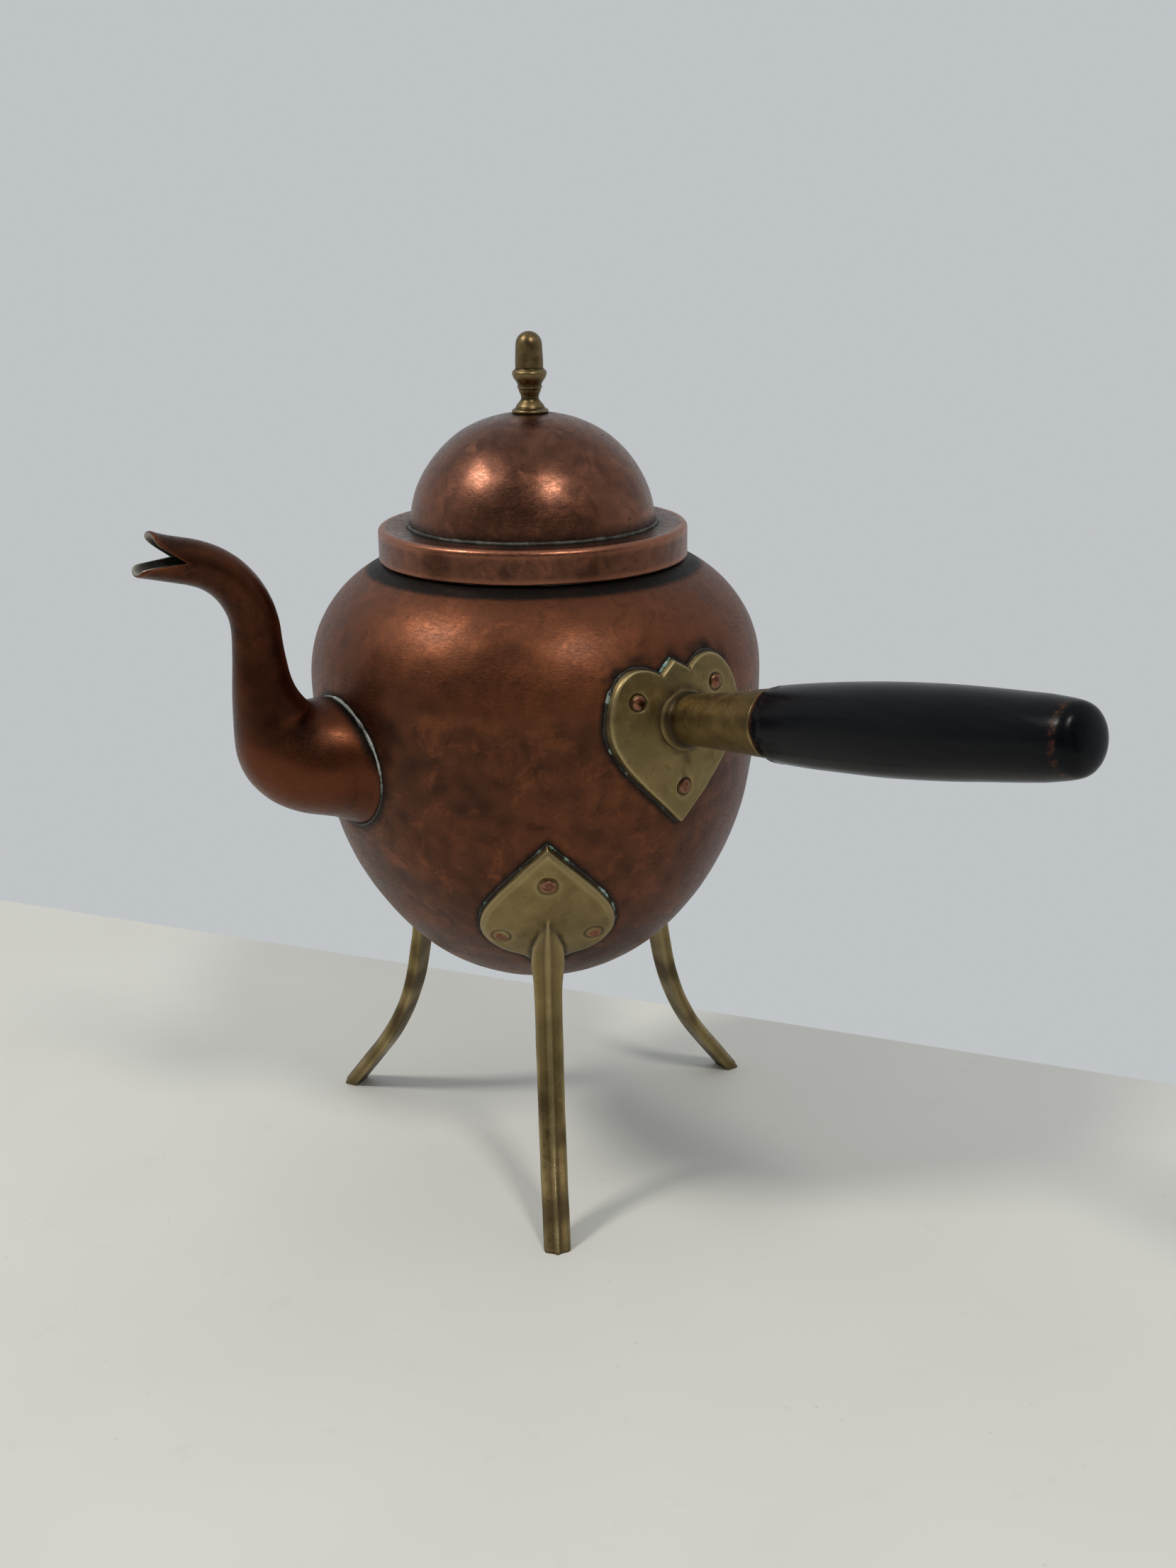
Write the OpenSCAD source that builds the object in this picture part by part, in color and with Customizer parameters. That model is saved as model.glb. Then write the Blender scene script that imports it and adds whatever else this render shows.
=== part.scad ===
// Copper tripod kettle with a lift-off domed lid, a swan-neck spout, a turned
// side handle in a heart-plated socket and three riveted brass legs.
// Axis of the body is Z, the floor is z = 0, the spout points to +X and the
// handle to the +Y side. All sizes are in millimetres.

/* [Body] */
// Height of the lowest point of the bottom above the floor
bottom_z = 59.7; // [52:0.1:66]
// Thickness of the copper sheet
wall = 1.2; // [1:0.1:1.5]
// Height of the upright collar's top edge
collar_top = 201.3; // [200.6:0.1:201.3]
// Outer radius of the upright collar
collar_r = 44.7; // [44:0.1:44.7]

/* [Spout] */
// Length of the straight horizontal root of the spout
root_len = 14.9; // [13:0.1:17]
// Length of the straight upright neck of the spout
neck_len = 11.2; // [8:0.1:15]
// Outer radius at the mouth
mouth_r = 6.2; // [5.5:0.1:6.6]
// Length of the two lips beyond the corner of the mouth
lip_len = 11.4; // [9:0.2:14]
// Radius of the plain hole through the body wall behind the spout
spout_hole_r = 12; // [9:0.5:14]

/* [Handle] */
// Angle of the handle from the spout, seen from above
handle_angle = 94; // [86:0.5:98]
// Angle of the handle above the horizontal
handle_rise = 10.5; // [6:0.1:14]
// Height where the handle's axis would meet the body's axis
handle_z0 = 143.4; // [141:0.1:146]
// Distance along the handle's axis from the body's axis to the socket's mouth
socket_end = 109; // [104:1:116]
// Length of the visible wooden grip
grip_len = 102.6; // [90:0.1:120]
// Largest radius of the grip
grip_r = 11.8; // [11:0.1:13]
// Radius of the cross pin that holds the grip
pin_r = 1; // [0.8:0.1:1.3]

/* [Legs] */
// Angle of the first leg from the spout
leg_start = 60; // [50:1:70]
// Width of the leg bar
leg_w = 8.3; // [7:0.1:9]
// Depth of the leg bar, ridge included
leg_t = 5; // [4:0.1:5.6]
// Splay of the foot from the vertical
leg_splay = 38; // [34:1:42]

/* [Lid] */
// Height of the lid's flat rim
rim_top = 202.6; // [202.5:0.1:203.5]
// Outer radius of the lid's band
band_r = 46.4; // [46.3:0.1:47]
// Height of the lid's band
band_h = 9.9; // [7:0.1:9.9]
// Outer radius of the dome at its foot
dome_r = 36.9; // [34:0.1:38]
// Rise of the dome's top above its foot
dome_h = 34.1; // [30:0.1:36]
// Height of the acorn knob
knob_h = 23.4; // [21:0.1:26]

/* [Rivets] */
// Shank radius of every rivet
shank_r = 1.5; // [1.2:0.1:1.7]
// Head radius of the handle's rivets
small_head_r = 2.1; // [1.9:0.1:2.4]
// Head radius of the legs' rivets
large_head_r = 2.5; // [2.2:0.1:2.8]

/* [Hidden] */
$fn = 96;

// The body is four tangent arcs: bottom cap, flank, side and shoulder.
cap_r = 58;
cap_a = 46;
flank_r = 89;
flank_a = 79;
side_r = 188;
shoulder_r = 36.7;
cap_c = [0, bottom_z + cap_r];
flank_c = cap_c + (cap_r - flank_r) * [sin(cap_a), -cos(cap_a)];
side_c = flank_c + (flank_r - side_r) * [sin(flank_a), -cos(flank_a)];
shoulder_c = side_c + (side_r - shoulder_r) * [1, 0];
belly_r = side_c[0] + side_r;

copper = [0.42, 0.20, 0.14];
rivet_copper = [0.50, 0.25, 0.18];
brass = [0.50, 0.42, 0.24];
solder = [0.60, 0.60, 0.55];
ebony = [0.05, 0.05, 0.06];
leg_angles = [leg_start, leg_start + 120, leg_start + 240];

// ---------- shared curves ----------

// Points on an arc; the angle is 0 at the bottom and 90 at the outside.
function arc(c, r, a0, a1, n) = [for (i = [0:n])
    let (a = a0 + (a1 - a0) * i / n) c + r * [sin(a), -cos(a)]];

// Points on a cubic Bezier curve, without its last point.
function bez(p, n) = [for (i = [0:n - 1])
    let (t = i / n, s = 1 - t)
    s * s * s * p[0] + 3 * s * s * t * p[1] + 3 * s * t * t * p[2] + t * t * t * p[3]];

// Mirror image of an outline's right half, in reverse order.
function mirrored(p) = [for (i = [len(p) - 1:-1:0]) if (abs(p[i][0]) > 0.001) [-p[i][0], p[i][1]]];

// Half section of the body's surface, offset outwards by off, up to radius r_end.
function skin(off, r_end) = concat(
    arc(cap_c, cap_r + off, 0, cap_a, 14),
    arc(flank_c, flank_r + off, cap_a + 3, flank_a, 10),
    arc(side_c, side_r + off, flank_a + 3.5, 90, 3),
    arc(shoulder_c, shoulder_r + off, 94, 180 - asin((r_end - shoulder_c[0]) / (shoulder_r + off)), 14));

// Outer radius of the body at height z, from the flank upwards.
function body_rho(z) =
    z < flank_c[1] - flank_r * cos(flank_a) ? flank_c[0] + sqrt(pow(flank_r, 2) - pow(z - flank_c[1], 2)) :
    z < side_c[1] ? side_c[0] + sqrt(pow(side_r, 2) - pow(z - side_c[1], 2)) :
    shoulder_c[0] + sqrt(pow(shoulder_r, 2) - pow(z - shoulder_c[1], 2));

// The body's outer form as one solid, for trimming what is fastened to it.
module body_form(off = 0) {
    pts = skin(off, collar_r);
    rotate_extrude() polygon(concat(pts, [[0, pts[len(pts) - 1][1]]]));
}

// ---------- rivets ----------

// A rivet along z: its head's seat is at z = 0 and its tail is at z = -grip.
module rivet(head_r, head_h, grip) {
    tail_r = shank_r + 0.8;
    rotate_extrude() polygon(concat(
        [for (i = [0:6]) let (a = 90 * i / 6) [head_r * sin(a), head_h * cos(a)]],
        [[head_r, -0.25], [shank_r, -0.25], [shank_r, -grip], [tail_r, -grip]],
        [for (i = [1:4]) let (a = 90 * i / 4) [tail_r * cos(a), -grip - 0.9 * sin(a)]]));
}

// Drop of a dished face of radius r at distance d from its middle.
function dish(r, d) = r - sqrt(r * r - d * d);

// ---------- handle plate: where it sits and how it is shaped ----------

plate_y = 70.7;
plate_z = 148;
plate_roll = 2.7;
plate_dish_r = 102;
heart_rivets = [[-14, 16], [14, 16], [0, -11.5]];

// The plate was fitted by eye and sits slightly turned on the body.
module on_plate() {
    rotate([0, 0, handle_angle - 90]) translate([0, plate_y, plate_z])
        rotate([-90, 0, 0]) rotate([0, 0, 180 + plate_roll]) children();
}

function heart_half() = concat(
    [[0, 25.1]],
    bez([[5.2, 21.7], [6.6, 23], [9.4, 24.5], [12.4, 24.5]], 6),
    bez([[12.4, 24.5], [19.2, 24.5], [23.1, 16.2], [23.1, 9.3]], 8),
    bez([[23.1, 9.3], [23.1, -0.6], [11.9, -10.2], [0.8, -22.2]], 14),
    [[0.8, -22.2], [0, -22.8]]);

module heart_outline() {
    half = heart_half();
    polygon(concat(half, mirrored(half)));
}

// Thickness from the plate's face to the body's inner surface under a rivet.
function heart_grip(p) = plate_y - dish(plate_dish_r, norm(p))
    - sqrt(pow(body_rho(plate_z + p[1]) - wall, 2) - pow(abs(p[0]) + 2, 2)) + 0.4;

// ---------- leg plates ----------

spade_rho = 60;
spade_z = 100;
spade_tilt = -28;
spade_dish_r = 85;
spade_rivets = [[0, 10.9], [-13.5, -11.4], [13.5, -11.4]];
spade_grips = [4.4, 4.2, 4.2];

module on_spade() {
    translate([spade_rho, 0, spade_z]) rotate([0, 90 - spade_tilt, 0]) rotate([0, 0, 90]) children();
}

function spade_half() = concat(
    [[0, 22.8]],
    bez([[0, 22.8], [9.5, 13.2], [19.6, 2.5], [19.6, -8]], 14),
    bez([[19.6, -8], [19.6, -13.5], [16.2, -20], [9.5, -22.6]], 8),
    bez([[9.5, -22.6], [6.8, -23.7], [5.2, -25.2], [4.4, -28]], 4),
    [[4.4, -28]]);

module spade_outline() {
    half = spade_half();
    polygon(concat(half, mirrored(half)));
}

// ---------- leg bar: a ridged section along straights and arcs ----------

// Heading angles are from straight down, outwards positive.
low_arc_r = 85;
high_arc_r = 40.5;
heel = [64.5, 15.5];
knee_a = 10.7;
function out_dir(a) = [cos(a), sin(a)];
function down_dir(a) = [sin(a), -cos(a)];
low_c = heel + low_arc_r * out_dir(leg_splay);
ankle = low_c - low_arc_r * out_dir(knee_a);
knee = ankle - 8 * down_dir(knee_a);
high_c = knee + high_arc_r * out_dir(knee_a);
hip = high_c - high_arc_r * out_dir(spade_tilt);

// Section of the bar: x is outwards, y across; the ridge is at x = leg_t / 2.
module bar_section(flip) {
    s = flip ? -1 : 1;
    polygon([[-s * leg_t / 2, -leg_w / 2], [-s * leg_t / 2, leg_w / 2], [s * leg_t * 0.24, leg_w / 2],
        [s * leg_t / 2, 0], [s * leg_t * 0.24, -leg_w / 2]]);
}

module bar_straight(p, a, l) {
    translate([p[0], 0, p[1]]) rotate([0, 180 - a, 0]) linear_extrude(height = l) bar_section(true);
}

module bar_arc(c, r, a0, a1) {
    translate([c[0], 0, c[1]]) rotate([90, 0, 0])
        rotate_extrude(angle = a1 - a0, start = 180 + a0) translate([r, 0]) bar_section(true);
}

module leg_bar() {
    hip_up = hip - 17 * down_dir(spade_tilt);
    bar_straight(hip_up, spade_tilt, 17);
    bar_arc(high_c, high_arc_r, spade_tilt, knee_a);
    bar_straight(knee - 0.05 * down_dir(knee_a), knee_a, 8.1);
    bar_arc(low_c, low_arc_r, knee_a, leg_splay);
    bar_straight(heel - 0.05 * down_dir(leg_splay), leg_splay, 24);
}

module leg() {
    color(brass) difference() {
        union() {
            intersection() {
                on_spade() translate([0, 0, -12]) linear_extrude(height = 14) spade_outline();
                on_spade() translate([0, 0, -spade_dish_r]) sphere(r = spade_dish_r);
            }
            intersection() {
                leg_bar();
                translate([0, -10, 0]) cube([120, 20, 120]);
            }
        }
        body_form();
        on_spade() for (p = spade_rivets) translate([p[0], p[1], -14]) cylinder(r = shank_r, h = 18);
    }
}

module leg_rivet_set() {
    color(rivet_copper) on_spade() for (i = [0:2]) {
        p = spade_rivets[i];
        translate([p[0], p[1], -dish(spade_dish_r, norm(p))]) rivet(large_head_r, 0.8, spade_grips[i]);
    }
}

// ---------- copper body ----------

module body_shell() {
    outer = skin(0, collar_r);
    inner = skin(-wall, collar_r);
    color(copper) difference() {
        rotate_extrude() polygon(concat(outer, [for (i = [len(inner) - 1:-1:0]) inner[i]]));
        translate([40, 0, spout_z]) rotate([0, 90, 0]) cylinder(r = spout_hole_r, h = 40);
        on_plate() for (p = heart_rivets) translate([p[0], p[1], -14]) cylinder(r = shank_r, h = 14);
        for (a = leg_angles) rotate([0, 0, a])
            on_spade() for (p = spade_rivets) translate([p[0], p[1], -14]) cylinder(r = shank_r, h = 14);
    }
}

module neck_collar() {
    foot = shoulder_c[1] + sqrt(pow(shoulder_r - wall, 2) - pow(collar_r - shoulder_c[0], 2)) - 1;
    color(copper) difference() {
        translate([0, 0, foot]) cylinder(r = collar_r, h = collar_top - foot);
        translate([0, 0, foot - 1]) cylinder(r = collar_r - wall, h = 30);
    }
}

// ---------- spout ----------

spout_z = 139.7;
spout_x = 62;
spout_wall = 1.1;
spout_sides = 32;
// Each stretch of the centreline is [length, heading at its start, heading at its end].
stretches = [[root_len, 14.5, 14.5], [13.25, 14.5, 65.2], [19.4, 65.2, 88], [neck_len, 88, 88],
    [27.1, 88, 22.1], [4.9, 22.1, 14.5], [24, 14.5, 14.5]];

function along(s, l) = let (a = s[1], b = s[1] + (s[2] - s[1]) * l / s[0])
    abs(b - a) < 0.001 ? l * [cos(a), sin(a)] :
    l / (b - a) * 180 / PI * [sin(b) - sin(a), cos(a) - cos(b)];
function centre(l, i = 0, p = [spout_x, spout_z]) =
    l <= stretches[i][0] || i == len(stretches) - 1 ? p + along(stretches[i], l) :
    centre(l - stretches[i][0], i + 1, p + along(stretches[i], stretches[i][0]));
function heading(l, i = 0) =
    l <= stretches[i][0] || i == len(stretches) - 1 ?
    stretches[i][1] + (stretches[i][2] - stretches[i][1]) * min(l, stretches[i][0]) / stretches[i][0] :
    heading(l - stretches[i][0], i + 1);

// Outer radius: wide at the root, easing down to the mouth.
function spout_r(l) = mouth_r + 11 / pow(1 + exp((l - 25.2) / 4.37), 0.366) + 1.85 * exp(-l / 8.2);

// The mouth: its corner is at mouth_l, and the lips run on to points above and below.
mouth_l = root_len + 13.25 + 19.4 + neck_len + 27.1 + 4.9 + 1.6;
// The cut edges of the split beak run straight and end in blunt tips.
function lip(f) = let (k = 1.55 * abs(cos(f)))
    lip_len * (cos(f) > 0 ? 0.82 : 1) * k / pow(1 + pow(k, 8), 1 / 8);

// One point of the spout's skin: ring position l, angle f from the top, radius r.
function tube_pt(l, f, r) = let (c = centre(l), h = heading(l) * min(1, l / 24))
    [c[0] - r * cos(f) * sin(h), r * sin(f), c[1] + r * cos(f) * cos(h)];
// The root follows the body, sunk a little into its surface.
function root_pt(f, r) = let (z = spout_z + r * cos(f), y = r * sin(f))
    [sqrt(pow(body_rho(z), 2) - y * y) - 0.25, y, z];

// Below sweep_end the top and the sides run to the body in one smooth sweep.
sweep_end = 34;
function ease01(x) = let (t = min(1, max(0, x))) t * t * (3 - 2 * t);
function hermite(p0, d0, p1, d1, t) = (2 * pow(t, 3) - 3 * t * t + 1) * p0 + (pow(t, 3) - 2 * t * t + t) * d0
    + (3 * t * t - 2 * pow(t, 3)) * p1 + (pow(t, 3) - t * t) * d1;
function swept_pt(l, f, inset) = let (
    root = root_pt(f, spout_r(0) - inset),
    end = tube_pt(sweep_end, f, spout_r(sweep_end) - inset),
    chord = norm(end - root),
    high = max(0, cos(f)),
    h = heading(sweep_end))
    hermite(root, chord * [1.05, 0, 0.02 + 0.45 * high], end,
        chord * (1 - 0.35 * high) * [cos(h), 0, sin(h)], l / sweep_end);
function skin_pt(l, f, inset) = let (tube = tube_pt(l, f, spout_r(l) - inset))
    l >= sweep_end ? tube : tube + (swept_pt(l, f, inset) - tube) * ease01((cos(f) + 0.45) / 0.95);

ring_ls = concat([for (i = [0:20]) 9 + i * (mouth_l - 14 - 9) / 20 + 1.6 * sin(i * 9)]);
lip_steps = 6;
function skin_ring(l, inset) = [for (k = [0:spout_sides - 1])
    skin_pt(l, 360 * k / spout_sides, inset)];
function lip_ring(j, inset) = [for (k = [0:spout_sides - 1])
    let (f = 360 * k / spout_sides, l0 = mouth_l - 9, l = l0 + (mouth_l + lip(f) - l0) * j / lip_steps)
    tube_pt(l, f, spout_r(l) - inset)];
function spout_rings(inset) = concat(
    [[for (k = [0:spout_sides - 1]) root_pt(360 * k / spout_sides, spout_r(0) - inset)]],
    [for (l = ring_ls) skin_ring(l, inset)],
    [for (j = [1:lip_steps]) lip_ring(j, inset)]);

// Joins rings of points into a closed loop of bands, the last ring back to the first.
module ring_solid(rings) {
    n = len(rings);
    m = len(rings[0]);
    polyhedron(
        points = [for (r = rings) for (p = r) p],
        faces = [for (i = [0:n - 1]) for (k = [0:m - 1]) for (t = [0, 1])
            let (a = i * m + k, b = i * m + (k + 1) % m, c = ((i + 1) % n) * m + k, d = ((i + 1) % n) * m + (k + 1) % m)
            t == 0 ? [a, b, d] : [a, d, c]]);
}

module spout() {
    outer = spout_rings(0);
    inner = spout_rings(spout_wall);
    color(copper) ring_solid(concat(outer, [for (i = [len(inner) - 1:-1:0]) inner[i]]));
}

// The bead of solder around the spout's root.
module spout_seam() {
    bead = 0.75;
    r = spout_r(0) + 0.15;
    steps = 48;
    color(solder) ring_solid([for (k = [0:steps - 1])
        let (f = 360 * k / steps, o = root_pt(f, r), q = root_pt(f, r + 1),
            u = (q - o) / norm(q - o), w = cross([0, cos(f), -sin(f)], u), v = w / norm(w))
        [for (s = [0:5]) o + bead * (cos(60 * s) * u + sin(60 * s) * v)]]);
}

// ---------- handle ----------

module on_handle() {
    rotate([0, 0, handle_angle - 90]) translate([0, 0, handle_z0]) rotate([-90 + handle_rise, 0, 0]) children();
}

socket_r0 = 6.95;
socket_r1 = 9.4;
socket_wall = 1.4;
root_s = 75;
function socket_r(s) = socket_r0 + (socket_r1 - socket_r0) * (s - 73) / (socket_end - 73);

module handle_plate() {
    color(brass) difference() {
        intersection() {
            on_plate() translate([0, 0, -9]) linear_extrude(height = 10) heart_outline();
            on_plate() translate([0, 0, -plate_dish_r]) sphere(r = plate_dish_r);
        }
        body_form();
        on_plate() for (p = heart_rivets) translate([p[0], p[1], -14]) cylinder(r = shank_r, h = 16);
    }
}

module handle_rivets() {
    color(rivet_copper) on_plate() for (p = heart_rivets)
        translate([p[0], p[1], -dish(plate_dish_r, norm(p))]) rivet(small_head_r, 0.9, heart_grip(p) - 0.1);
}

module handle_socket() {
    color(brass) difference() {
        on_handle() rotate_extrude() polygon(concat(
            [[socket_r(70) - socket_wall, 66], [socket_r0 + 2.3, 66], [socket_r0 + 2.3, 71.6]],
            [for (i = [1:5]) let (a = 90 * i / 5) [socket_r(root_s) + 2.4 * (1 - sin(a)), root_s - 2.8 * cos(a)]],
            [[socket_r1, socket_end], [socket_r1 - socket_wall, socket_end]]));
        on_plate() translate([0, 0, -plate_dish_r]) sphere(r = plate_dish_r);
        on_handle() translate([0, 0, socket_end - 8]) rotate([90, 0, 0]) cylinder(r = pin_r, h = 30, center = true);
    }
}

function grip_half() = concat(
    [[socket_r1 + 0.1, 0]],
    bez([[grip_r - 1.7, 1.3], [grip_r - 0.9, 0.09 * grip_len], [grip_r, 0.25 * grip_len],
        [grip_r + 0.03, 0.42 * grip_len]], 8),
    bez([[grip_r + 0.03, 0.42 * grip_len], [grip_r + 0.06, 0.58 * grip_len], [grip_r - 0.7, 0.7 * grip_len],
        [grip_r - 1.75, 0.88 * grip_len]], 8),
    bez([[grip_r - 1.75, 0.88 * grip_len], [grip_r - 2.2, 0.921 * grip_len], [grip_r - 2.6, 0.95 * grip_len],
        [grip_r - 3.1, 0.967 * grip_len]], 4),
    bez([[grip_r - 3.1, 0.967 * grip_len], [grip_r - 3.9, 0.99 * grip_len], [5.2, grip_len],
        [0, grip_len]], 8));

module handle_grip() {
    tenon_s = 84;
    half = grip_half();
    color(ebony) on_handle() difference() {
        rotate_extrude() polygon(concat(
            [[0, tenon_s], [socket_r(tenon_s) - socket_wall - 0.1, tenon_s],
                [socket_r1 - socket_wall - 0.1, socket_end]],
            [for (p = half) [p[0], p[1] + socket_end]],
            [[0, socket_end + grip_len]]));
        translate([0, 0, socket_end - 8]) rotate([90, 0, 0]) cylinder(r = pin_r, h = 30, center = true);
    }
}

module handle_pin() {
    l = 2 * socket_r(socket_end - 8) - 0.2;
    color(brass) on_handle() translate([0, 0, socket_end - 8])
        rotate([90, 0, 0]) cylinder(r = pin_r, h = l, center = true);
}

// ---------- lid ----------

dome_foot = 201;
module lid_rim() {
    corner = 1.5;
    hole_r = dome_r - 2.2;
    color(copper) rotate_extrude() polygon(concat(
        [[hole_r, rim_top - wall], [band_r - wall - 0.6, rim_top - wall], [band_r - wall, rim_top - wall - 0.6],
            [band_r - wall, rim_top - band_h], [band_r, rim_top - band_h]],
        [for (i = [0:5]) let (a = 90 * i / 5)
            [band_r - corner + corner * cos(a), rim_top - corner + corner * sin(a)]],
        [[hole_r, rim_top]]));
}

// The dome is a slightly flattened hemisphere.
function dome_pt(t, off) = let (r = dome_h + (dome_r - dome_h) * pow(cos(t), 1.2) - off)
    [r * cos(t), dome_foot + r * sin(t)];
dome_t0 = asin((rim_top - dome_foot) / dome_r);
dome_hole_r = 1.6;
dome_t1 = acos(dome_hole_r / dome_h);
dome_top = dome_pt(dome_t1, 0)[1];

module lid_dome() {
    n = 18;
    inner_r = dome_r - wall;
    color(copper) rotate_extrude() polygon(concat(
        [for (i = [0:n]) dome_pt(dome_t0 + (dome_t1 - dome_t0) * i / n, 0)],
        [[dome_hole_r, dome_foot + sqrt(pow(dome_h - wall, 2) - pow(dome_hole_r, 2))]],
        [for (i = [n - 1:-1:1]) dome_pt(dome_t0 + (dome_t1 - dome_t0) * i / n, wall)],
        [[dome_pt(dome_t0, wall)[0], rim_top]]));
}

module lid_seam() {
    r = dome_pt(dome_t0, 0)[0];
    color(solder) rotate_extrude() polygon([[r - 0.12, rim_top], [r + 1.1, rim_top], [r + 0.6, rim_top + 0.35],
        [r + 0.15, rim_top + 0.9], [r - 0.12, rim_top + 1.1]]);
}

// Smooth step between two radii, for the turned knob.
function ease(z0, r0, z1, r1, n) = [for (i = [0:n - 1])
    let (t = i / n) [r0 + (r1 - r0) * (1 - cos(180 * t)) / 2, z0 + (z1 - z0) * t]];

module lid_knob() {
    h = knob_h / 23.4;
    stem = 1.45;
    color(brass) translate([0, 0, dome_top]) rotate_extrude() polygon(concat(
        [[0, -3.2], [1, -3.2], [2.3, -2.7], [2.3, -2.1], [stem, -2.1], [stem, 0], [5.1, -0.1], [5.4, 0.3]],
        [[5.4, 0.8 * h], [4.7, 1.15 * h]],
        ease(1.5 * h, 4.2, 4.2 * h, 2.6, 6),
        ease(4.2 * h, 2.6, 7.2 * h, 3.5, 5),
        [[3.5, 7.2 * h], [3.7, 7.5 * h]],
        ease(7.8 * h, 3.6, 11.2 * h, 5.1, 6),
        [[5.1, 11.2 * h], [5.05, 11.9 * h], [4.3, 12.5 * h], [4.15, 12.9 * h]],
        [[4.15, 15 * h], [4, 17.6 * h]],
        [for (i = [0:7]) let (a = 90 * i / 7) [3.85 * cos(a), (19.6 + 3.8 * sin(a)) * h]]));
}

module knob_washer() {
    color(copper) translate([0, 0, dome_top - 2.05]) difference() {
        cylinder(r = 4.5, h = 0.8);
        translate([0, 0, -1]) cylinder(r = 1.5, h = 3);
    }
}

module leg_front() { rotate([0, 0, leg_angles[0]]) leg(); }
module leg_back() { rotate([0, 0, leg_angles[1]]) leg(); }
module leg_side() { rotate([0, 0, leg_angles[2]]) leg(); }
module leg_front_rivets() { rotate([0, 0, leg_angles[0]]) leg_rivet_set(); }
module leg_back_rivets() { rotate([0, 0, leg_angles[1]]) leg_rivet_set(); }
module leg_side_rivets() { rotate([0, 0, leg_angles[2]]) leg_rivet_set(); }

body_shell();
neck_collar();
spout();
spout_seam();
handle_plate();
handle_socket();
handle_grip();
handle_pin();
handle_rivets();
leg_front();
leg_back();
leg_side();
leg_front_rivets();
leg_back_rivets();
leg_side_rivets();
lid_rim();
lid_dome();
lid_seam();
lid_knob();
knob_washer();
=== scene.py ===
import math
from collections import namedtuple

import bmesh
import bpy
import numpy as np
from mathutils import Matrix, Vector, noise

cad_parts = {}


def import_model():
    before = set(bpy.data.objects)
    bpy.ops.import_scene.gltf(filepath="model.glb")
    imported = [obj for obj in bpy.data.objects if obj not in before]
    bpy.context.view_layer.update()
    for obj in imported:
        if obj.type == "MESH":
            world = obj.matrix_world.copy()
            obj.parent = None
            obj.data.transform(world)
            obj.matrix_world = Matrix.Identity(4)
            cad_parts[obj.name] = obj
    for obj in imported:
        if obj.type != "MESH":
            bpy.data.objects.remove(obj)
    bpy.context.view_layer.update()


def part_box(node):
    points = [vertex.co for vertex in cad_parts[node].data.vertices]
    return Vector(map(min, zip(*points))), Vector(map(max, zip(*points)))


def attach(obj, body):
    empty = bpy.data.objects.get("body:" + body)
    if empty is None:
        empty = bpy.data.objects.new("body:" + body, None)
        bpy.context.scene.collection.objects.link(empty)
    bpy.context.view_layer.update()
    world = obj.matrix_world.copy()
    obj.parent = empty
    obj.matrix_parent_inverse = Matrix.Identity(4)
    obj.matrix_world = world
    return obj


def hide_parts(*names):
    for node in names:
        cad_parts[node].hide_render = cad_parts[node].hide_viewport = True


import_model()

MM = 0.001
sin = lambda a: math.sin(math.radians(a))
cos = lambda a: math.cos(math.radians(a))


def clamp(x):
    return np.clip(x, 0, 1)


# ---- measures (mm)

def node_box(name):
    lo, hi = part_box(name)
    return [v / MM for v in lo], [v / MM for v in hi]


RIM_LO, RIM_HI = node_box("lid_rim")
COLLAR_LO, COLLAR_HI = node_box("neck_collar")
BOTTOM_Z = node_box("body_shell")[0][2]
KNOB_TOP = node_box("lid_knob")[1][2]
WALL = 1.2
NECK_Z = 190.0
NECK_R = COLLAR_HI[0]
COLLAR_TOP = COLLAR_HI[2]
LEG_AZIMUTHS = {"leg_front": 60.0, "leg_back": 180.0, "leg_side": 300.0}

# The body's outline: bottom cap, flank, side and shoulder, tangent to each other.
CAP_R, CAP_A = 58.0, 46.0
FLANK_R, FLANK_A = 89.0, 79.0
SIDE_R = 188.0
SHOULDER_R = 36.7


def next_centre(c, r, a, r2):
    """The centre of an arc of radius r2 that goes on smoothly where the arc (c, r) ends, at angle a."""
    return (c[0] + (r - r2) * sin(a), c[1] - (r - r2) * cos(a))


CAP_C = (0.0, BOTTOM_Z + CAP_R)
FLANK_C = next_centre(CAP_C, CAP_R, CAP_A, FLANK_R)
SIDE_C = next_centre(FLANK_C, FLANK_R, FLANK_A, SIDE_R)
SHOULDER_C = (SIDE_C[0] + SIDE_R - SHOULDER_R, SIDE_C[1])
BODY_ARCS = ((CAP_C, CAP_R), (FLANK_C, FLANK_R), (SIDE_C, SIDE_R), (SHOULDER_C, SHOULDER_R))


def arc(c, r, a0, a1, n):
    turns = [a0 + (a1 - a0) * i / n for i in range(n + 1)]
    return [(c[0] + r * sin(a), c[1] - r * cos(a)) for a in turns]


def body_outline(off, r_end, n=34):
    end = 180 - math.degrees(math.asin((r_end - SHOULDER_C[0]) / (SHOULDER_R + off)))
    out = arc(CAP_C, CAP_R + off, 0.6, CAP_A, n)
    out += arc(FLANK_C, FLANK_R + off, CAP_A, FLANK_A, n)[1:]
    out += arc(SIDE_C, SIDE_R + off, FLANK_A, 90, n)[1:]
    return out + arc(SHOULDER_C, SHOULDER_R + off, 90, end, n)[1:]


def body_rho(z):
    """Outer radius of the body at height z, for arrays too."""
    z = np.asarray(z, float)
    cap, flank, side, top = (c[0] + np.sqrt(np.clip(r ** 2 - (z - c[1]) ** 2, 0, None))
                             for c, r in BODY_ARCS)
    low = z < CAP_C[1] - CAP_R * cos(CAP_A)
    mid = z < FLANK_C[1] - FLANK_R * cos(FLANK_A)
    return np.where(low, cap, np.where(mid, flank, np.where(z < SIDE_C[1], side, top)))


# ---- mesh tools

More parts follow.
